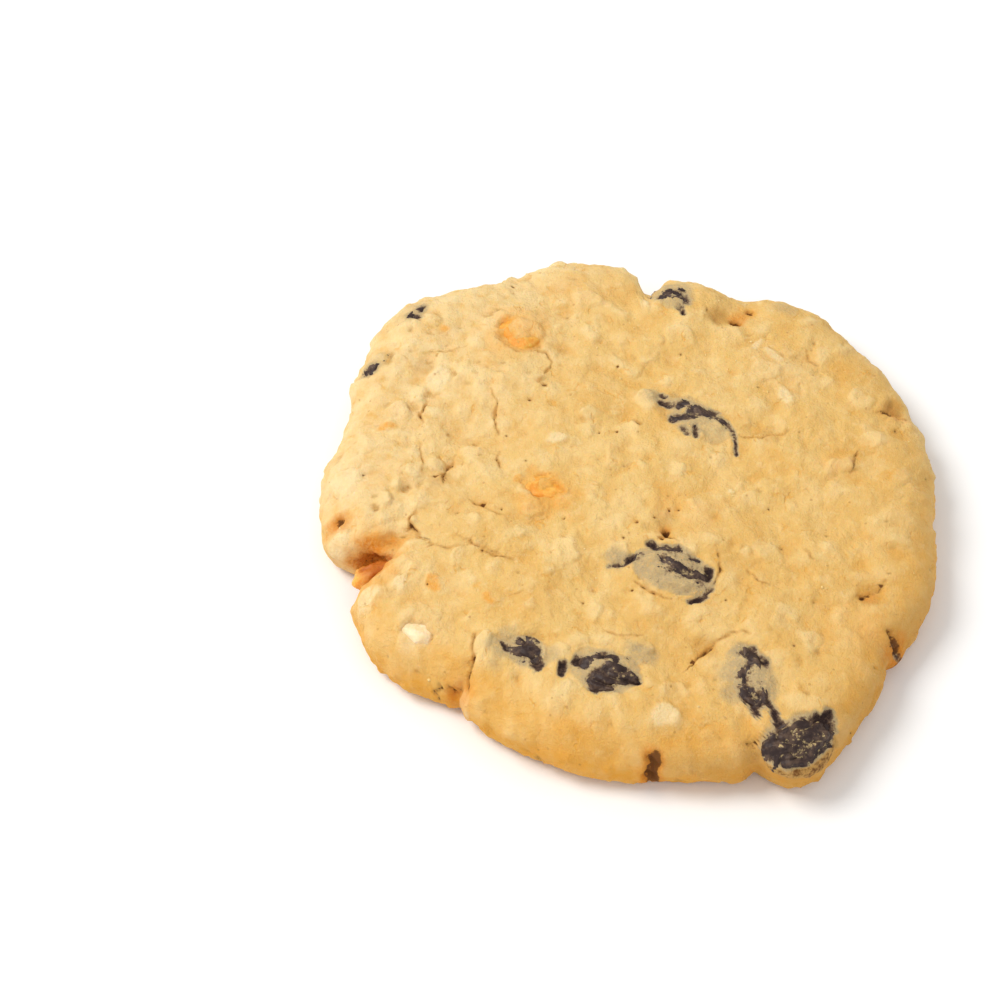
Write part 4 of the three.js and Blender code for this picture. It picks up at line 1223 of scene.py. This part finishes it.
class COOKIE_OT_crumbs(Operator):
    """Scatter fine crumbs of dough on the skin"""

    bl_idname = "cookie.crumbs"
    bl_label = "Crumbs"

    def execute(self, context):
        settings = context.scene.cookie_dough
        skin_points, skin_faces = mesh_arrays(bpy.data.objects["dough_crust"])
        out = Skin(skin_points, skin_faces).ways_out()
        draws = np.random.default_rng(21)
        free = np.where((skin_points[:, 2] > 4.0) & (out[:, 2] > 0.3))[0]
        ball, ball_faces = round_ball(CRUMB_FINENESS)
        points, faces = [], []
        for i in range(CRUMB_COUNT):
            number = free[draws.integers(len(free))]
            size = draws.uniform(0.09, 0.22)
            rough = 1.0 + 0.35 * grain(ball, 0.8, 4.0 * i)
            body = ball * draws.uniform(0.6, 1.2, 3) * size * rough[:, None]
            faces.append(ball_faces + i * len(ball))
            points.append(body + skin_points[number] + out[number] * size * -0.1)
        piece = put_mesh("dough_crumbs", np.concatenate(points), np.concatenate(faces))
        piece.data.materials.append(fruit_finish("crumb", settings.golden, settings.pale, 0.8, 0.15))
        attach(piece, "root")
        return {"FINISHED"}


# ---------------------------------------------------------------- the stage

class COOKIE_OT_stage(Operator):
    """Make the pale floor, the soft lights and the camera"""

    bl_idname = "cookie.stage"
    bl_label = "Stage"

    TILT = math.radians(54.0)  # how steeply the camera looks down
    CAMERA = Vector((-16.95, -257.75, 361.7)) * MM

    def execute(self, context):
        settings = context.scene.cookie_stage
        scene = context.scene
        scene.view_settings.view_transform = "Standard"
        bpy.ops.mesh.primitive_plane_add(size=settings.floor_size)
        floor = context.object
        floor.name = "floor"
        finish = Finish("floor_paper")
        finish.set(Base_Color=(*settings.floor_colour, 1.0), Roughness=0.8, Specular_IOR_Level=0.1)
        floor.data.materials.append(finish.material)

        world = bpy.data.worlds.new("even_light")
        world.use_nodes = True
        sky = world.node_tree.nodes["Background"]
        sky.inputs["Color"].default_value = (1.0, 1.0, 1.0, 1.0)
        sky.inputs["Strength"].default_value = settings.sky_strength
        scene.world = world

        self.add_light("key", (-0.50, 0.10, 0.70), 0.45, settings.key_power, (1.0, 0.985, 0.95))
        self.add_light("fill", (0.25, -0.55, 0.60), 0.60, settings.key_power * 0.10, (1.0, 1.0, 1.0))

        camera = bpy.data.objects.new("camera", bpy.data.cameras.new("camera"))
        camera.data.lens = settings.lens
        camera.data.sensor_width = 36.0
        camera.data.clip_start = 0.01
        camera.location = self.CAMERA
        camera.rotation_euler = (math.pi / 2 - self.TILT, 0.0, 0.0)
        scene.collection.objects.link(camera)
        scene.camera = camera
        return {"FINISHED"}

    @staticmethod
    def add_light(name, place, size, power, tint):
        light = bpy.data.lights.new(name, "AREA")
        light.shape = "DISK"
        light.size = size
        light.energy = power
        light.color = tint
        thing = bpy.data.objects.new(name, light)
        thing.location = place
        thing.rotation_euler = (-Vector(place)).to_track_quat("-Z", "Y").to_euler()
        bpy.context.scene.collection.objects.link(thing)


# ---------------------------------------------------------------- the add-on

STEPS = (COOKIE_OT_raisins, COOKIE_OT_fruit, COOKIE_OT_dough, COOKIE_OT_crumbs, COOKIE_OT_stage)
SETTINGS = {
    "cookie_dough": DoughSettings,
    "cookie_raisins": RaisinSettings,
    "cookie_fruit": FruitSettings,
    "cookie_stage": StageSettings,
}


class COOKIE_PT_panel(Panel):
    """The cookie's steps and settings"""

    bl_label = "Oatmeal Raisin Cookie"
    bl_idname = "COOKIE_PT_panel"
    bl_space_type = "VIEW_3D"
    bl_region_type = "UI"
    bl_category = "Cookie"

    def draw(self, context):
        for step in STEPS:
            self.layout.operator(step.bl_idname)
        for name, group in SETTINGS.items():
            box = self.layout.box()
            for key in group.__annotations__:
                box.prop(getattr(context.scene, name), key)


CLASSES = (*SETTINGS.values(), *STEPS, COOKIE_PT_panel)


def register():
    for cls in CLASSES:
        bpy.utils.register_class(cls)
    for name, group in SETTINGS.items():
        setattr(bpy.types.Scene, name, PointerProperty(type=group))


def unregister():
    for name in SETTINGS:
        delattr(bpy.types.Scene, name)
    for cls in reversed(CLASSES):
        bpy.utils.unregister_class(cls)


def main():
    register()
    bpy.ops.cookie.raisins()
    bpy.ops.cookie.fruit()
    bpy.ops.cookie.dough()
    bpy.ops.cookie.crumbs()
    bpy.ops.cookie.stage()
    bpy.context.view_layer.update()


if __name__ == "__main__":
    main()
